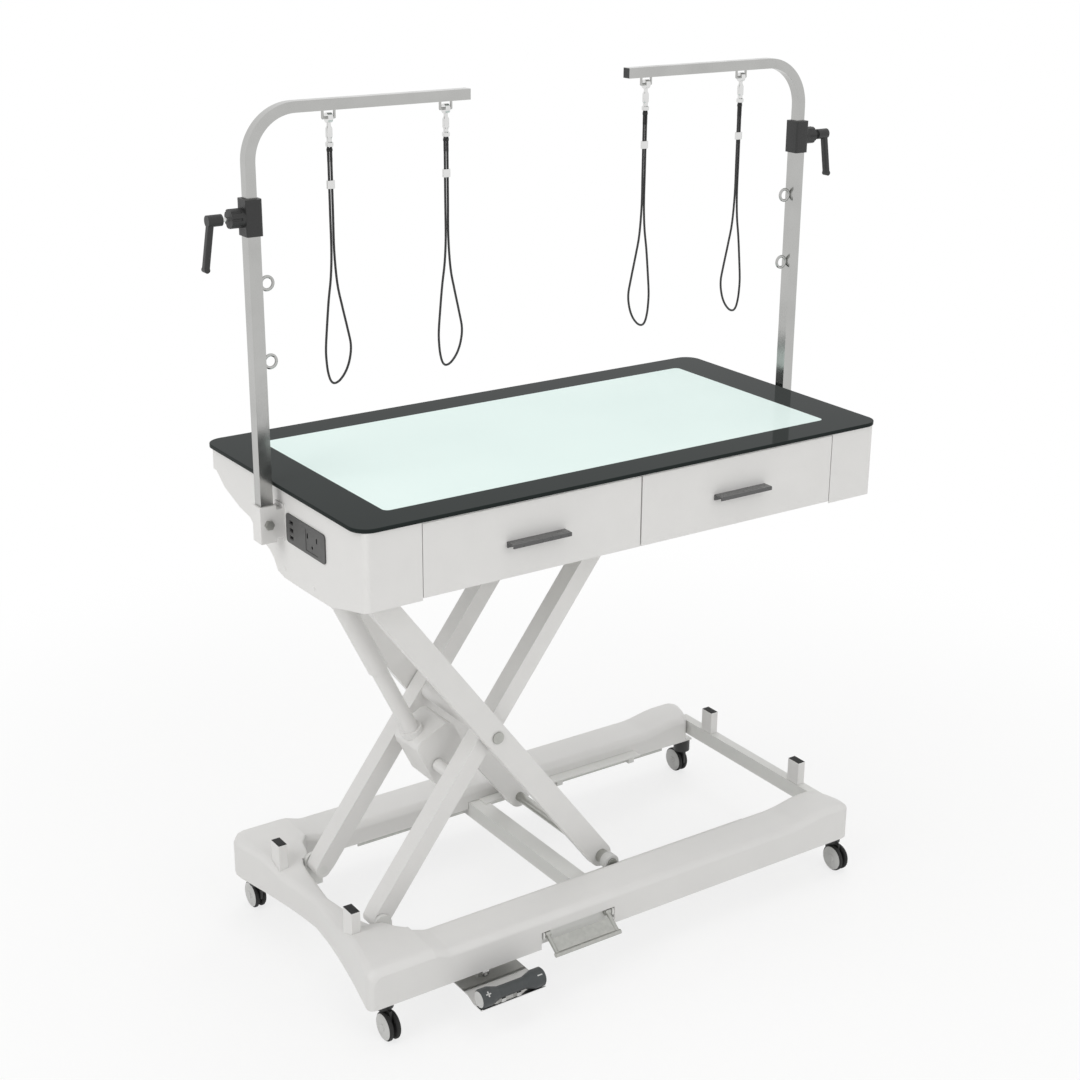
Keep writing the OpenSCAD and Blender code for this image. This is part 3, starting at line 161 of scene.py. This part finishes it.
# Length that a wave texture repeats over at scale 1, and the braid's repeat
WAVE_UNIT = 0.314
BRAID_REPEAT = 4 * MM


def braid_surface():
    """Braided nylon: two sets of threads that cross on a slant, with painted shade in the grooves between them."""
    mat, tree, out = blank("braided nylon cord")
    place = add(tree, "ShaderNodeTexCoord").outputs["Object"]
    waves = []
    for turn in (0.9, -0.9):
        slant = add(tree, "ShaderNodeMapping", {"Vector": place}, in_Rotation=(turn, turn, turn))
        waves.append(add(tree, "ShaderNodeTexWave", {"Vector": slant.outputs[0]}, bands_direction="Z",
                         in_Scale=WAVE_UNIT / BRAID_REPEAT, in_Distortion=0.4).outputs["Fac"])
    threads = add(tree, "ShaderNodeMath", {0: waves[0], 1: waves[1]}, operation="MAXIMUM").outputs[0]
    # Raised threads are painted lighter and the grooves between them darker: painted shade in the grooves
    tone = add(tree, "ShaderNodeMix", {0: threads}, data_type="RGBA",
               in_6=linear("#121212"), in_7=linear("#333333"))
    relief = add(tree, "ShaderNodeBump", {"Height": threads}, in_Strength=0.8, in_Distance=0.3 * MM)
    shader = add(tree, "ShaderNodeBsdfPrincipled", {"Base Color": tone.outputs[2], "Normal": relief.outputs[0]},
                 in_Roughness=0.75, in_Sheen_Weight=0.25)
    tree.links.new(shader.outputs[0], out.inputs[0])
    return mat


MATERIALS = {}


def finish(name):
    """Makes each finish once, by the name of the real material."""
    if name in MATERIALS:
        return MATERIALS[name]
    tints = bpy.context.scene.grooming_colours
    makers = {
        # Sprayed and baked powder: a soft gloss over a faint orange peel
        "powder coated steel": lambda: surface("powder coated steel", tints.paint, "#e6e5e3", roughness=0.42,
                                               grain_mm=2.2, grain_height=0.02),
        # The frames behind get the same paint a little darker: painted shade on parts that sit in shadow
        "powder coated frame in painted shade": lambda: surface("powder coated frame in painted shade", tints.frame, "#e2e2df", roughness=0.5,
                                               grain_mm=2.2, grain_height=0.03),
        # Injection moulded ABS with a fine spark texture
        "moulded ABS cover": lambda: surface("moulded ABS cover", tints.covers, "#e2e1df", roughness=0.46,
                                             grain_mm=0.9, grain_height=0.03),
        # Mechanically polished tube: fine lines run along it
        "polished stainless tube": lambda: surface("polished stainless tube", "#bcbcba", "#afafad", metallic=1.0,
                                                   roughness=0.2, grain_mm=0.7, grain_height=0.01,
                                                   stretch=(1, 1, 0.02)),
        # Nickel and chrome plate: bright and smooth
        "chrome plated steel": lambda: surface("chrome plated steel", "#e4e4e3", "#d6d6d5", metallic=1.0,
                                               roughness=0.12, spread=0.04, grain_mm=6, grain_height=0.01),
        "zinc plated steel": lambda: surface("zinc plated steel", "#bdbdb8", "#a9aaa6", metallic=1.0,
                                             roughness=0.36, blotch_mm=9, grain_mm=0.6),
        # Glass-filled nylon straight from the mould
        "black moulded nylon": lambda: surface("black moulded nylon", "#202020", "#2b2b2b", roughness=0.45,
                                               blotch_mm=25, grain_mm=0.8, grain_height=0.05),
        "dark grey enamel": lambda: surface("dark grey enamel", tints.handles, "#565656", roughness=0.3,
                                            blotch_mm=20, grain_mm=1.5, grain_height=0.015, coat=0.3),
        "outlet thermoplastic": lambda: surface("outlet thermoplastic", "#4c4c4b", "#545453", roughness=0.5,
                                                blotch_mm=20, grain_mm=0.7, grain_height=0.04),
        "black rubber": lambda: surface("black rubber", "#1e1e1e", "#2a2a2a", roughness=0.78, spread=0.05,
                                        blotch_mm=12, grain_mm=0.9, grain_height=0.1),
        "grey rubber": lambda: surface("grey rubber", "#3b3e3f", "#484b4c", roughness=0.5, blotch_mm=12,
                                       grain_mm=0.9, grain_height=0.06),
        "grey nylon": lambda: surface("grey nylon", "#d2d2d0", "#c6c6c4", roughness=0.5, blotch_mm=15),
        "acrylic diffuser": lambda: surface("acrylic diffuser", "#dcebe8", "#e4f0ee", roughness=0.3, blotch_mm=80),
        "braided nylon cord": braid_surface,
        "waxed thread binding": lambda: surface("waxed thread binding", "#1a1a1a", "#303030", roughness=0.7,
                                                blotch_mm=3, grain_mm=1.2, grain_height=0.3, stretch=(0.2, 0.2, 1)),
    }
    MATERIALS[name] = makers[name]()
    return MATERIALS[name]


def carried(node, body, *materials):
    """Gives an object its finishes and lets it ride on a body."""
    node.data.materials.clear()
    for name in materials:
        node.data.materials.append(finish(name) if isinstance(name, str) else name)
    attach(node, body)
    return node


def flush_ends(bm, step):
    """Makes a moulded cover's front and back one flat face each, where walls stand a hair behind the rim."""
    ends = [min(v.co.y for v in bm.verts), max(v.co.y for v in bm.verts)]
    for v in bm.verts:
        for end in ends:
            if abs(v.co.y - end) < step:
                v.co.y = end
    bmesh.ops.remove_doubles(bm, verts=bm.verts, dist=step)
    bmesh.ops.dissolve_degenerate(bm, edges=bm.edges, dist=step)
    flat = [f for f in bm.faces if any(all(abs(v.co.y - end) < 1e-6 for v in f.verts) for end in ends)]
    edges = list({e for f in flat for e in f.edges if all(g in flat for g in e.link_faces)})
    bmesh.ops.dissolve_edges(bm, edges=edges, use_verts=False)
    bmesh.ops.recalc_face_normals(bm, faces=bm.faces)


def dressed(node, *materials, bevel=0.6, pick=None, angle=32, weld=2e-6):
    """A copy of a CAD solid with merged points, softened edges and smooth curves, in its node's place."""
    source = frame["nodes"][node]
    mesh = source.data.copy()
    mesh.name = node + "_finished"
    bm = bmesh.new()
    bm.from_mesh(mesh)
    bmesh.ops.remove_doubles(bm, verts=bm.verts, dist=weld)
    if weld > 1e-5:
        flush_ends(bm, weld)
    if bevel:
        bmesh.ops.dissolve_limit(bm, angle_limit=math.radians(0.4), verts=bm.verts, edges=bm.edges)
    bm.to_mesh(mesh)
    bm.free()
    if mesh.has_custom_normals:
        mesh.attributes.remove(mesh.attributes["custom_normal"])
    for polygon in mesh.polygons:
        polygon.use_smooth = True
    mesh.set_sharp_from_angle(angle=math.radians(angle))
    piece = bpy.data.objects.new(node + "_finished", mesh)
    bpy.context.scene.collection.objects.link(piece)
    carried(piece, BODY_OF[node], *materials)
    if pick:
        for polygon in mesh.polygons:
            polygon.material_index = pick(polygon.center, polygon.normal)
    if bevel:
        soft = piece.modifiers.new("softened edges", "BEVEL")
        soft.width = bevel * MM
        soft.segments = 2
        soft.limit_method = "ANGLE"
        soft.angle_limit = math.radians(angle + 3)
        soft.harden_normals = True
        soft.use_clamp_overlap = True
    else:
        # Broad faces keep their own direction, so that a moulded edge reads as a round between two flats
        even = piece.modifiers.new("even shading", "WEIGHTED_NORMAL")
        even.keep_sharp = True
        even.weight = 80
    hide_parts(node)
    return piece


def piece_from(name, bm, body, *materials, smooth=35, bevel=0.0):
    """Makes an object of a finished bmesh and lets it ride on a body."""
    bmesh.ops.remove_doubles(bm, verts=bm.verts, dist=1e-6)
    bmesh.ops.recalc_face_normals(bm, faces=bm.faces)
    mesh = bpy.data.meshes.new(name)
    bm.to_mesh(mesh)
    bm.free()
    for polygon in mesh.polygons:
        polygon.use_smooth = True
    mesh.set_sharp_from_angle(angle=math.radians(smooth))
    piece = bpy.data.objects.new(name, mesh)
    bpy.context.scene.collection.objects.link(piece)
    if bevel:
        soft = piece.modifiers.new("softened edges", "BEVEL")
        soft.width = bevel * MM
        soft.segments = 2
        soft.limit_method = "ANGLE"
        soft.angle_limit = math.radians(smooth)
    return carried(piece, body, *materials)


def disc(bm, centre, axis, radius, height, sides=32, tip=None):
    """Adds a short cylinder or cone that starts at centre and runs along axis."""
    turn = Vector((0, 0, 1)).rotation_difference(Vector(axis)).to_matrix().to_4x4()
    move = Matrix.Translation(Vector(centre)) @ turn @ Matrix.Translation((0, 0, height / 2))
    bmesh.ops.create_cone(bm, cap_ends=True, segments=sides, radius1=radius, radius2=radius if tip is None else tip,
                          depth=height, matrix=move)


def slab(bm, low, high):
    """Adds a box between two corners."""
    low, high = Vector(low), Vector(high)
    size = high - low
    bmesh.ops.create_cube(bm, size=1.0, matrix=Matrix.Translation((low + high) / 2) @ Matrix.Diagonal((*size, 1)))


# Sizes and colours that a user may change

class GroomingSizes(bpy.types.PropertyGroup):
    cord_diameter: bpy.props.FloatProperty(
        name="Cord diameter", description="Thickness of the noose cords", default=4.5 * MM, unit="LENGTH")
    binding_length: bpy.props.FloatProperty(
        name="Binding length", description="Length of the thread binding under a noose hook", default=26 * MM,
        unit="LENGTH")
    hub_cover: bpy.props.FloatProperty(
        name="Hub cover diameter", description="Diameter of the cap on each caster wheel", default=54 * MM,
        unit="LENGTH")
    softened: bpy.props.FloatProperty(
        name="Edge softening", description="Radius on the folded edges of the sheet metal", default=0.8 * MM,
        unit="LENGTH")


class GroomingColours(bpy.types.PropertyGroup):
    paint: bpy.props.StringProperty(
        name="Paint", description="Hex colour of the painted steel", default="#e0dfdd")
    covers: bpy.props.StringProperty(
        name="Covers", description="Hex colour of the base covers", default="#dddcda")
    # A little darker than the paint: painted shade on the frames behind
    frame: bpy.props.StringProperty(
        name="Frame", description="Hex colour of the frames behind", default="#dcdcd9")
    handles: bpy.props.StringProperty(
        name="Handles", description="Hex colour of the drawer handles", default="#484848")


# Stage and camera

CAMERA_AT = (-2.0515, -2.9801, 2.1744)
CAMERA_YAW, CAMERA_PITCH, CAMERA_ROLL = (math.radians(a) for a in (34.27, 20.34, 0.40))
CAMERA_LENS = 61.572
# Distances from the middle where the floor's own brightness starts to grow and is full, and its least share
FLOOR_NEAR, FLOOR_FAR, FLOOR_SHARE = 0.8, 2.4, 0.75
LAMP_AIM = (0, 0, 0.8)
# Name, place, side of the square and power
LAMPS = (
    ("key_left", (-4.2, -0.6, 3.4), 3.2, 76),
    ("front_fill", (0.6, -4.4, 2.6), 3.4, 52),
    ("overhead", (0.3, 0.2, 4.6), 3.0, 52),
    ("back_right", (3.6, 3.0, 3.0), 2.4, 30),
)


class GROOMING_OT_stage(bpy.types.Operator):
    """Camera at the photograph's angle, a pale floor and soft lamps"""
    bl_idname = "grooming.stage"
    bl_label = "Studio and Camera"

    def execute(self, context):
        scene = context.scene
        ahead = Vector((math.sin(CAMERA_YAW) * math.cos(CAMERA_PITCH),
                        math.cos(CAMERA_YAW) * math.cos(CAMERA_PITCH), -math.sin(CAMERA_PITCH)))
        level = Vector((math.cos(CAMERA_YAW), -math.sin(CAMERA_YAW), 0))
        above = level.cross(ahead)
        right = math.cos(CAMERA_ROLL) * level + math.sin(CAMERA_ROLL) * above
        up = math.cos(CAMERA_ROLL) * above - math.sin(CAMERA_ROLL) * level
        camera = bpy.data.objects.new("camera", bpy.data.cameras.new("camera"))
        camera.data.lens = CAMERA_LENS
        camera.data.sensor_width = 36
        camera.data.clip_end = 60
        camera.matrix_world = Matrix.Translation(CAMERA_AT) @ Matrix((right, up, -ahead)).transposed().to_4x4()
        scene.collection.objects.link(camera)
        scene.camera = camera
        scene.view_settings.view_transform = "Standard"
        self.floor(scene)
        self.lamps(scene)
        return {"FINISHED"}

    def floor(self, scene):
        bm = bmesh.new()
        bmesh.ops.create_grid(bm, x_segments=1, y_segments=1, size=40)
        mesh = bpy.data.meshes.new("studio_floor")
        bm.to_mesh(mesh)
        bm.free()
        ground = bpy.data.objects.new("studio_floor", mesh)
        scene.collection.objects.link(ground)
        mat, tree, out = blank("seamless paper")
        ray = add(tree, "ShaderNodeLightPath")
        paper = add(tree, "ShaderNodeBsdfDiffuse", in_Color=linear("#f1f1f0"))
        glow = add(tree, "ShaderNodeEmission", in_Color=(1, 1, 1, 1), in_Strength=1.0)
        # Near the table a part of the floor's tone comes from the lamps, so that the shadow shows
        place = add(tree, "ShaderNodeTexCoord").outputs["Object"]
        away = add(tree, "ShaderNodeVectorMath", {0: place}, operation="LENGTH").outputs["Value"]
        level = add(tree, "ShaderNodeMapRange", {"Value": away}, interpolation_type="SMOOTHSTEP",
                    in_1=FLOOR_NEAR, in_2=FLOOR_FAR, in_3=FLOOR_SHARE, in_4=1.0)
        seen = any_ray(tree, ray, "Is Camera Ray", "Is Glossy Ray", "Is Transmission Ray")
        share = add(tree, "ShaderNodeMath", {0: seen, 1: level.outputs[0]}, operation="MULTIPLY")
        both = add(tree, "ShaderNodeMixShader", {0: share.outputs[0], 1: paper.outputs[0], 2: glow.outputs[0]})
        tree.links.new(both.outputs[0], out.inputs[0])
        ground.data.materials.append(mat)

    def lamps(self, scene):
        world = bpy.data.worlds.new("studio")
        scene.world = world
        world.use_nodes = True
        tree = world.node_tree
        tree.nodes.clear()
        ray = add(tree, "ShaderNodeLightPath")
        seen = any_ray(tree, ray, "Is Camera Ray", "Is Transmission Ray", "Is Glossy Ray")
        dim = add(tree, "ShaderNodeBackground", in_Color=(1, 1, 1, 1), in_Strength=0.5)
        white = add(tree, "ShaderNodeBackground", in_Color=(1, 1, 1, 1), in_Strength=1.0)
        mix = add(tree, "ShaderNodeMixShader", {0: seen, 1: dim.outputs[0], 2: white.outputs[0]})
        out = add(tree, "ShaderNodeOutputWorld")
        tree.links.new(mix.outputs[0], out.inputs[0])
        for name, place, size, power in LAMPS:
            lamp = bpy.data.lights.new(name, "AREA")
            lamp.size = size
            lamp.energy = power
            holder = bpy.data.objects.new(name, lamp)
            holder.location = place
            aim = Vector(LAMP_AIM) - Vector(place)
            holder.rotation_euler = aim.to_track_quat("-Z", "Y").to_euler()
            # The white surroundings are what the glass and the tubes mirror, with no lamp's edge in them
            holder.visible_glossy = False
            scene.collection.objects.link(holder)


# Nooses

MAST_X, MAST_Y = 0.640, 0.010
NOOSE_REACH = {"outer": 0.162, "inner": 0.407}
# Height of the staples' bars that the hooks hang on
BAR_Z = {"left": 1.73244, "right": 1.74944}
HOOK_L = 0.051
# Half the distance between the middles of a noose's two strands
STRAND = 0.0029
# Gap between a hook and its knot, turns of the thread, and half sizes of the knot and of a wound strand
KNOT_GAP = 0.002
KNOT_TURNS, STRAND_TURNS = 3, 8
KNOT_RADII = (5.9 * MM, 3.8 * MM)
WOUND_RADII = (2.5 * MM, 2.5 * MM)
# Route of a cord below its hook, in millimetres: along the boom away from the post, and down
NOOSE_ROUTE = [
    (0, 0), (0, -60), (0, -125), (0, -190), (3, -238), (9, -280), (14, -326), (18, -370), (17.5, -396),
    (15, -417), (10, -433), (2, -439), (-10, -434), (-23, -418), (-31.5, -396), (-34.5, -370), (-29, -340),
    (-18, -291), (-10, -250), (-5.8, -190), (-5.8, -125), (-5.8, -60), (-5.8, 0),
]


def smooth_route(points, steps=4):
    """Catmull-Rom curve through the points."""
    ends = [2 * points[0] - points[1]] + points + [2 * points[-1] - points[-2]]
    made = []
    for a, b, c, d in zip(ends, ends[1:], ends[2:], ends[3:]):
        for k in range(steps):
            t = k / steps
            bend, twist = 2 * a - 5 * b + 4 * c - d, 3 * b - a - 3 * c + d
            made.append(0.5 * (2 * b + (c - a) * t + bend * t * t + twist * t ** 3))
    return made + [points[-1]]


def wind_thread(bm, top, turns, pitch, radii, bulge, groove):
    """Adds a sleeve of thread turns that goes down from a point."""
    loops = []
    for k in range(turns):
        swell = bulge * math.sin(math.pi * (k + 0.5) / turns)
        for drop, less in ((0.5, 0.0), (1.0, groove)):
            ring = bmesh.ops.create_circle(bm, cap_ends=False, segments=20, radius=1.0)["verts"]
            at = top - Vector((0, 0, (k + drop) * pitch))
            shape = Matrix.Diagonal((radii[0] + swell - less, radii[1] + swell - less, 1, 1))
            bmesh.ops.transform(bm, verts=ring, matrix=Matrix.Translation(at) @ shape)
            loops.append(list(dict.fromkeys(edge for vert in ring for edge in vert.link_edges)))
    for upper, lower in zip(loops, loops[1:]):
        bmesh.ops.bridge_loops(bm, edges=upper + lower)


class GROOMING_OT_nooses(bpy.types.Operator):
    """Four nooses: braided cords, thread bindings and chrome hooks"""
    bl_idname = "grooming.nooses"
    bl_label = "Nooses"

    def execute(self, context):
        sizes = context.scene.grooming_sizes
        for side, sign in (("left", -1), ("right", 1)):
            for place, reach in NOOSE_REACH.items():
                self.noose(context, sizes, side, sign, place, reach)
        return {"FINISHED"}

    def noose(self, context, sizes, side, sign, place, reach):
        key = side + "_" + place
        body = "noose_" + key
        top = Vector((sign * (MAST_X - reach), MAST_Y, BAR_Z[side] - HOOK_L))
        route = [top + Vector((sign * (x * MM + STRAND), 0, z * MM)) for x, z in NOOSE_ROUTE]
        line = smooth_route(route)
        curve = bpy.data.curves.new("noose_cord_line_" + key, "CURVE")
        curve.dimensions = "3D"
        curve.bevel_depth = sizes.cord_diameter / 2
        curve.bevel_resolution = 3
        spline = curve.splines.new("POLY")
        spline.points.add(len(line) - 1)
        for point, at in zip(spline.points, line):
            point.co = (*at, 1)
        spline.use_smooth = True
        cord = bpy.data.objects.new("braided_cord_" + key, curve)
        context.scene.collection.objects.link(cord)
        carried(cord, body, "braided nylon cord")
        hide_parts("noose_cord_" + key)
        binding = self.binding(sizes, key, body, top)
        dressed("noose_hook_" + key, "chrome plated steel", bevel=0.3)

    def binding(self, sizes, key, body, top):
        """Waxed thread: a knot under the hook, then turns on each strand that the slider can pass over"""
        bm = bmesh.new()
        pitch = sizes.binding_length / (KNOT_TURNS + STRAND_TURNS)
        wind_thread(bm, top - Vector((0, 0, KNOT_GAP)), KNOT_TURNS, pitch, KNOT_RADII, 0.5 * MM, 0.7 * MM)
        low = KNOT_GAP + KNOT_TURNS * pitch
        for side in (-1, 1):
            start = top + Vector((side * STRAND, 0, -low))
            wind_thread(bm, start, STRAND_TURNS, pitch, WOUND_RADII, 0, 0.2 * MM)
        bmesh.ops.holes_fill(bm, edges=bm.edges, sides=0)
        return piece_from("thread_binding_" + key, bm, body, "waxed thread binding", smooth=60)


# Glass top

PANEL_CORNER = 0.012
DIFFUSER_T = 0.0052


class GROOMING_OT_glass_top(bpy.types.Operator):
    """Tempered glass with its black border and the lit panel under it"""
    bl_idname = "grooming.glass_top"
    bl_label = "Glass Top"

    def execute(self, context):
        low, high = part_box("light_panel")
        glass = glass_surface((high.x - low.x) / 2, (high.y - low.y) / 2, PANEL_CORNER)
        dressed("glass_top", glass, bevel=1.2)
        dressed("light_panel", "acrylic diffuser", "powder coated frame in painted shade", bevel=0.3,
                pick=lambda c, n: 0 if c.z > high.z - DIFFUSER_T else 1)
        return {"FINISHED"}


# Casing

# In front of this the sockets' faces belong to their bolts
BOLT_FRONT = -0.0078
SCREW_SPOTS = ((-0.118, 0.897), (0.0, 0.897))


class GROOMING_OT_casing(bpy.types.Operator):
    """Folded sheet casing, underside, sockets for the posts and their screws"""
    bl_idname = "grooming.casing"
    bl_label = "Casing"

    def execute(self, context):
        soft = context.scene.grooming_sizes.softened / MM
        dressed("casing_shell", "powder coated steel", bevel=soft)
        dressed("underside_pan", "powder coated frame in painted shade", bevel=0.3)
        dressed("table_frame", "powder coated frame in painted shade", bevel=soft)
        dressed("arm_sockets", "powder coated steel", "zinc plated steel", bevel=soft,
                pick=lambda c, n: 1 if c.y < BOLT_FRONT else 0)
        dressed("control_box", "black moulded nylon", bevel=1.5)
        self.screws()
        return {"FINISHED"}

    def screws(self):
        """Button head screws that hold the end panels"""
        low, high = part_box("casing_shell")
        bm = bmesh.new()
        for x, out in ((low.x, -1), (high.x, 1)):
            for y, z in SCREW_SPOTS:
                disc(bm, (x - out * 0.0005, y, z), (out, 0, 0), 0.0045, 0.0017, tip=0.0034)
        piece_from("end_panel_screws", bm, "table", "powder coated steel", bevel=0.3)


# Drawers

class GROOMING_OT_drawers(bpy.types.Operator):
    """Drawers, runners and ledge handles"""
    bl_idname = "grooming.drawers"
    bl_label = "Drawers"

    def execute(self, context):
        soft = context.scene.grooming_sizes.softened / MM
        for side in ("left", "right"):
            dressed("drawer_" + side, "powder coated steel", bevel=soft)
            dressed("drawer_handle_" + side, "dark grey enamel", bevel=0.6)
        dressed("drawer_slides", "zinc plated steel", bevel=0.3)
        return {"FINISHED"}


# Outlet

# Behind the first, and further in than the second, the inserts' faces are black
SOCKET_BACK, INSERT_FACE = -0.06, -0.6085


class GROOMING_OT_outlet(bpy.types.Operator):
    """Power outlet and charging ports in the left end"""
    bl_idname = "grooming.outlet"
    bl_label = "Outlet"

    def execute(self, context):
        dressed("outlet_panel", "outlet thermoplastic", bevel=0.8)
        dressed("outlet_inserts", "outlet thermoplastic", "black moulded nylon", bevel=0.3,
                pick=lambda c, n: 1 if c.y > SOCKET_BACK or c.x > INSERT_FACE else 0)
        return {"FINISHED"}


# Lift

class GROOMING_OT_lift(bpy.types.Operator):
    """Scissor arms, pivots, rollers and the lift motor"""
    bl_idname = "grooming.lift"
    bl_label = "Scissor Lift"

    def execute(self, context):
        soft = context.scene.grooming_sizes.softened / MM
        for node in ("inner_arms", "outer_arms", "actuator_tube", "actuator_sleeve"):
            dressed(node, "powder coated steel", bevel=soft * 1.5)
        dressed("actuator_motor", "powder coated steel", bevel=2.5)
        dressed("pivot_pins", "zinc plated steel", bevel=0.8)
        dressed("roller_shaft", "zinc plated steel", bevel=0.6)
        for node in ("lower_rollers", "upper_rollers"):
            dressed(node, "grey nylon", bevel=1.0)
        return {"FINISHED"}


# Base

REST_CAP = 0.0062
# In front of this the brake linkage is the flat bar, behind it the rod
FLAT_BAR_Y = 0.2825


class GROOMING_OT_base(bpy.types.Operator):
    """Base frame, moulded covers, rest posts and the brake linkage"""
    bl_idname = "grooming.base"
    bl_label = "Base"

    def execute(self, context):
        for node in ("front_rail_cover", "rear_rail_cover", "left_end_cover"):
            dressed(node, "moulded ABS cover", bevel=0, angle=50, weld=6e-5)
        dressed("base_frame", "powder coated frame in painted shade", bevel=0.8)
        cap_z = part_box("rest_posts")[1].z - REST_CAP
        dressed("rest_posts", "powder coated steel", "black rubber", bevel=1.0,
                pick=lambda c, n: 1 if c.z > cap_z else 0)
        dressed("brake_rod", "black rubber", "zinc plated steel", bevel=0.4,
                pick=lambda c, n: 1 if c.y < FLAT_BAR_Y else 0)
        dressed("brake_lever", "zinc plated steel", bevel=0.5)
        return {"FINISHED"}


# Casters

class GROOMING_OT_casters(bpy.types.Operator):
    """Twin-wheel casters with capped hubs"""
    bl_idname = "grooming.casters"
    bl_label = "Casters"

    def execute(self, context):
        cover = context.scene.grooming_sizes.hub_cover
        for place in ("front_left", "front_right", "rear_left", "rear_right"):
            dressed("caster_fork_" + place, "black moulded nylon", bevel=1.0)
            dressed("caster_wheel_" + place, "black rubber", bevel=0.6)
            low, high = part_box("caster_wheel_" + place)
            middle = (low + high) / 2
            bm = bmesh.new()
            # A flat cap with a sloping rim, and a small raised disc in its middle
            for out, x in ((-1, low.x), (1, high.x)):
                inner, rim = (x - out * 0.004, middle.y, middle.z), (x - out * 0.001, middle.y, middle.z)
                disc(bm, inner, (out, 0, 0), cover / 2, 0.003, sides=40)
                disc(bm, rim, (out, 0, 0), cover / 2, 0.0009, sides=40, tip=cover / 2 - 0.0025)
                disc(bm, rim, (out, 0, 0), 0.0085, 0.0032, sides=24, tip=0.0065)
            piece_from("hub_covers_" + place, bm, "caster_wheel_" + place, "grey nylon")
        return {"FINISHED"}


# Pedals

# Half length and half width of a mark's bars, its rise and root, its place on the bar and its turn about it
MARK_LONG, MARK_THIN = 0.0055, 0.0011
MARK_RISE, MARK_ROOT = 0.0006, 0.0014
MARK_INSET, MARK_TURN = 0.014, math.radians(-48)


class GROOMING_OT_pedals(bpy.types.Operator):
    """Rocker bar with its plus and minus marks, on a bright plate"""
    bl_idname = "grooming.pedals"
    bl_label = "Rocker Pedal"

    def execute(self, context):
        dressed("pedal_plate", "chrome plated steel", bevel=0.5)
        low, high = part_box("rocker_pedal")
        dressed("rocker_pedal", "grey rubber", "grey nylon", bevel=0,
                pick=lambda c, n: 1 if abs(n.x) > 0.9 else 0)
        self.marks(low, high)
        return {"FINISHED"}

    def marks(self, low, high):
        """Raised plus and minus on the thick ends of the bar, facing the user"""
        y, z = (low.y + high.y) / 2, (low.z + high.z) / 2
        radius = (high.z - low.z) / 2
        outer, inner = -radius - MARK_RISE, -radius + MARK_ROOT
        bm = bmesh.new()
        tilt = Matrix.Translation((0, y, z)) @ Matrix.Rotation(MARK_TURN, 4, "X")
        for x, plus in ((low.x + MARK_INSET, True), (high.x - MARK_INSET, False)):
            start = len(bm.verts)
            slab(bm, (x - MARK_LONG, outer, -MARK_THIN), (x + MARK_LONG, inner, MARK_THIN))
            if plus:
                slab(bm, (x - MARK_THIN, outer, -MARK_LONG), (x + MARK_THIN, inner, MARK_LONG))
            bm.verts.ensure_lookup_table()
            bmesh.ops.transform(bm, verts=bm.verts[start:], matrix=tilt)
        piece_from("pedal_marks", bm, "pedal", "grey nylon", smooth=20)


# Overhead arms

ARM_CAP = 0.0045
# Nearer the middle than this a clamp lever's faces belong to its stud
STUD_END = MAST_X + 0.0555


class GROOMING_OT_overhead_arms(bpy.types.Operator):
    """Polished posts and arms, black clamps and their levers"""
    bl_idname = "grooming.overhead_arms"
    bl_label = "Overhead Arms"

    def execute(self, context):
        for side, sign in (("left", -1), ("right", 1)):
            dressed("lower_post_" + side, "polished stainless tube", bevel=1.6)
            low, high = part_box("upper_arm_" + side)
            inner = high.x if sign < 0 else low.x
            dressed("upper_arm_" + side, "polished stainless tube", "black moulded nylon", bevel=1.4,
                    pick=lambda c, n, inner=inner: 1 if abs(c.x - inner) < ARM_CAP else 0)
            dressed("clamp_sleeve_" + side, "black moulded nylon", bevel=1.0)
            dressed("clamp_lever_" + side, "black moulded nylon", "chrome plated steel", bevel=1.0,
                    pick=lambda c, n: 1 if abs(c.x) < STUD_END else 0)
            for place in NOOSE_REACH:
                dressed("noose_slider_%s_%s" % (side, place), "chrome plated steel", bevel=0.6)
        return {"FINISHED"}


OPERATORS = (
    GROOMING_OT_stage, GROOMING_OT_overhead_arms, GROOMING_OT_nooses, GROOMING_OT_glass_top, GROOMING_OT_casing,
    GROOMING_OT_drawers, GROOMING_OT_outlet, GROOMING_OT_lift, GROOMING_OT_base, GROOMING_OT_casters,
    GROOMING_OT_pedals,
)


class GROOMING_PT_panel(bpy.types.Panel):
    """Buttons and sizes in the sidebar"""
    bl_idname = "GROOMING_PT_panel"
    bl_label = "Grooming Table"
    bl_space_type = "VIEW_3D"
    bl_region_type = "UI"
    bl_category = "Grooming Table"

    def draw(self, context):
        for group in (context.scene.grooming_sizes, context.scene.grooming_colours):
            for name in group.__annotations__:
                self.layout.prop(group, name)
        for kind in OPERATORS:
            self.layout.operator(kind.bl_idname)


CLASSES = (GroomingSizes, GroomingColours, *OPERATORS, GROOMING_PT_panel)


def register():
    for kind in CLASSES:
        bpy.utils.register_class(kind)
    bpy.types.Scene.grooming_sizes = bpy.props.PointerProperty(type=GroomingSizes)
    bpy.types.Scene.grooming_colours = bpy.props.PointerProperty(type=GroomingColours)


def unregister():
    del bpy.types.Scene.grooming_colours
    del bpy.types.Scene.grooming_sizes
    for kind in reversed(CLASSES):
        bpy.utils.unregister_class(kind)


def main():
    register()
    for kind in OPERATORS:
        group, name = kind.bl_idname.split(".")
        getattr(getattr(bpy.ops, group), name)()


if __name__ == "__main__":
    main()
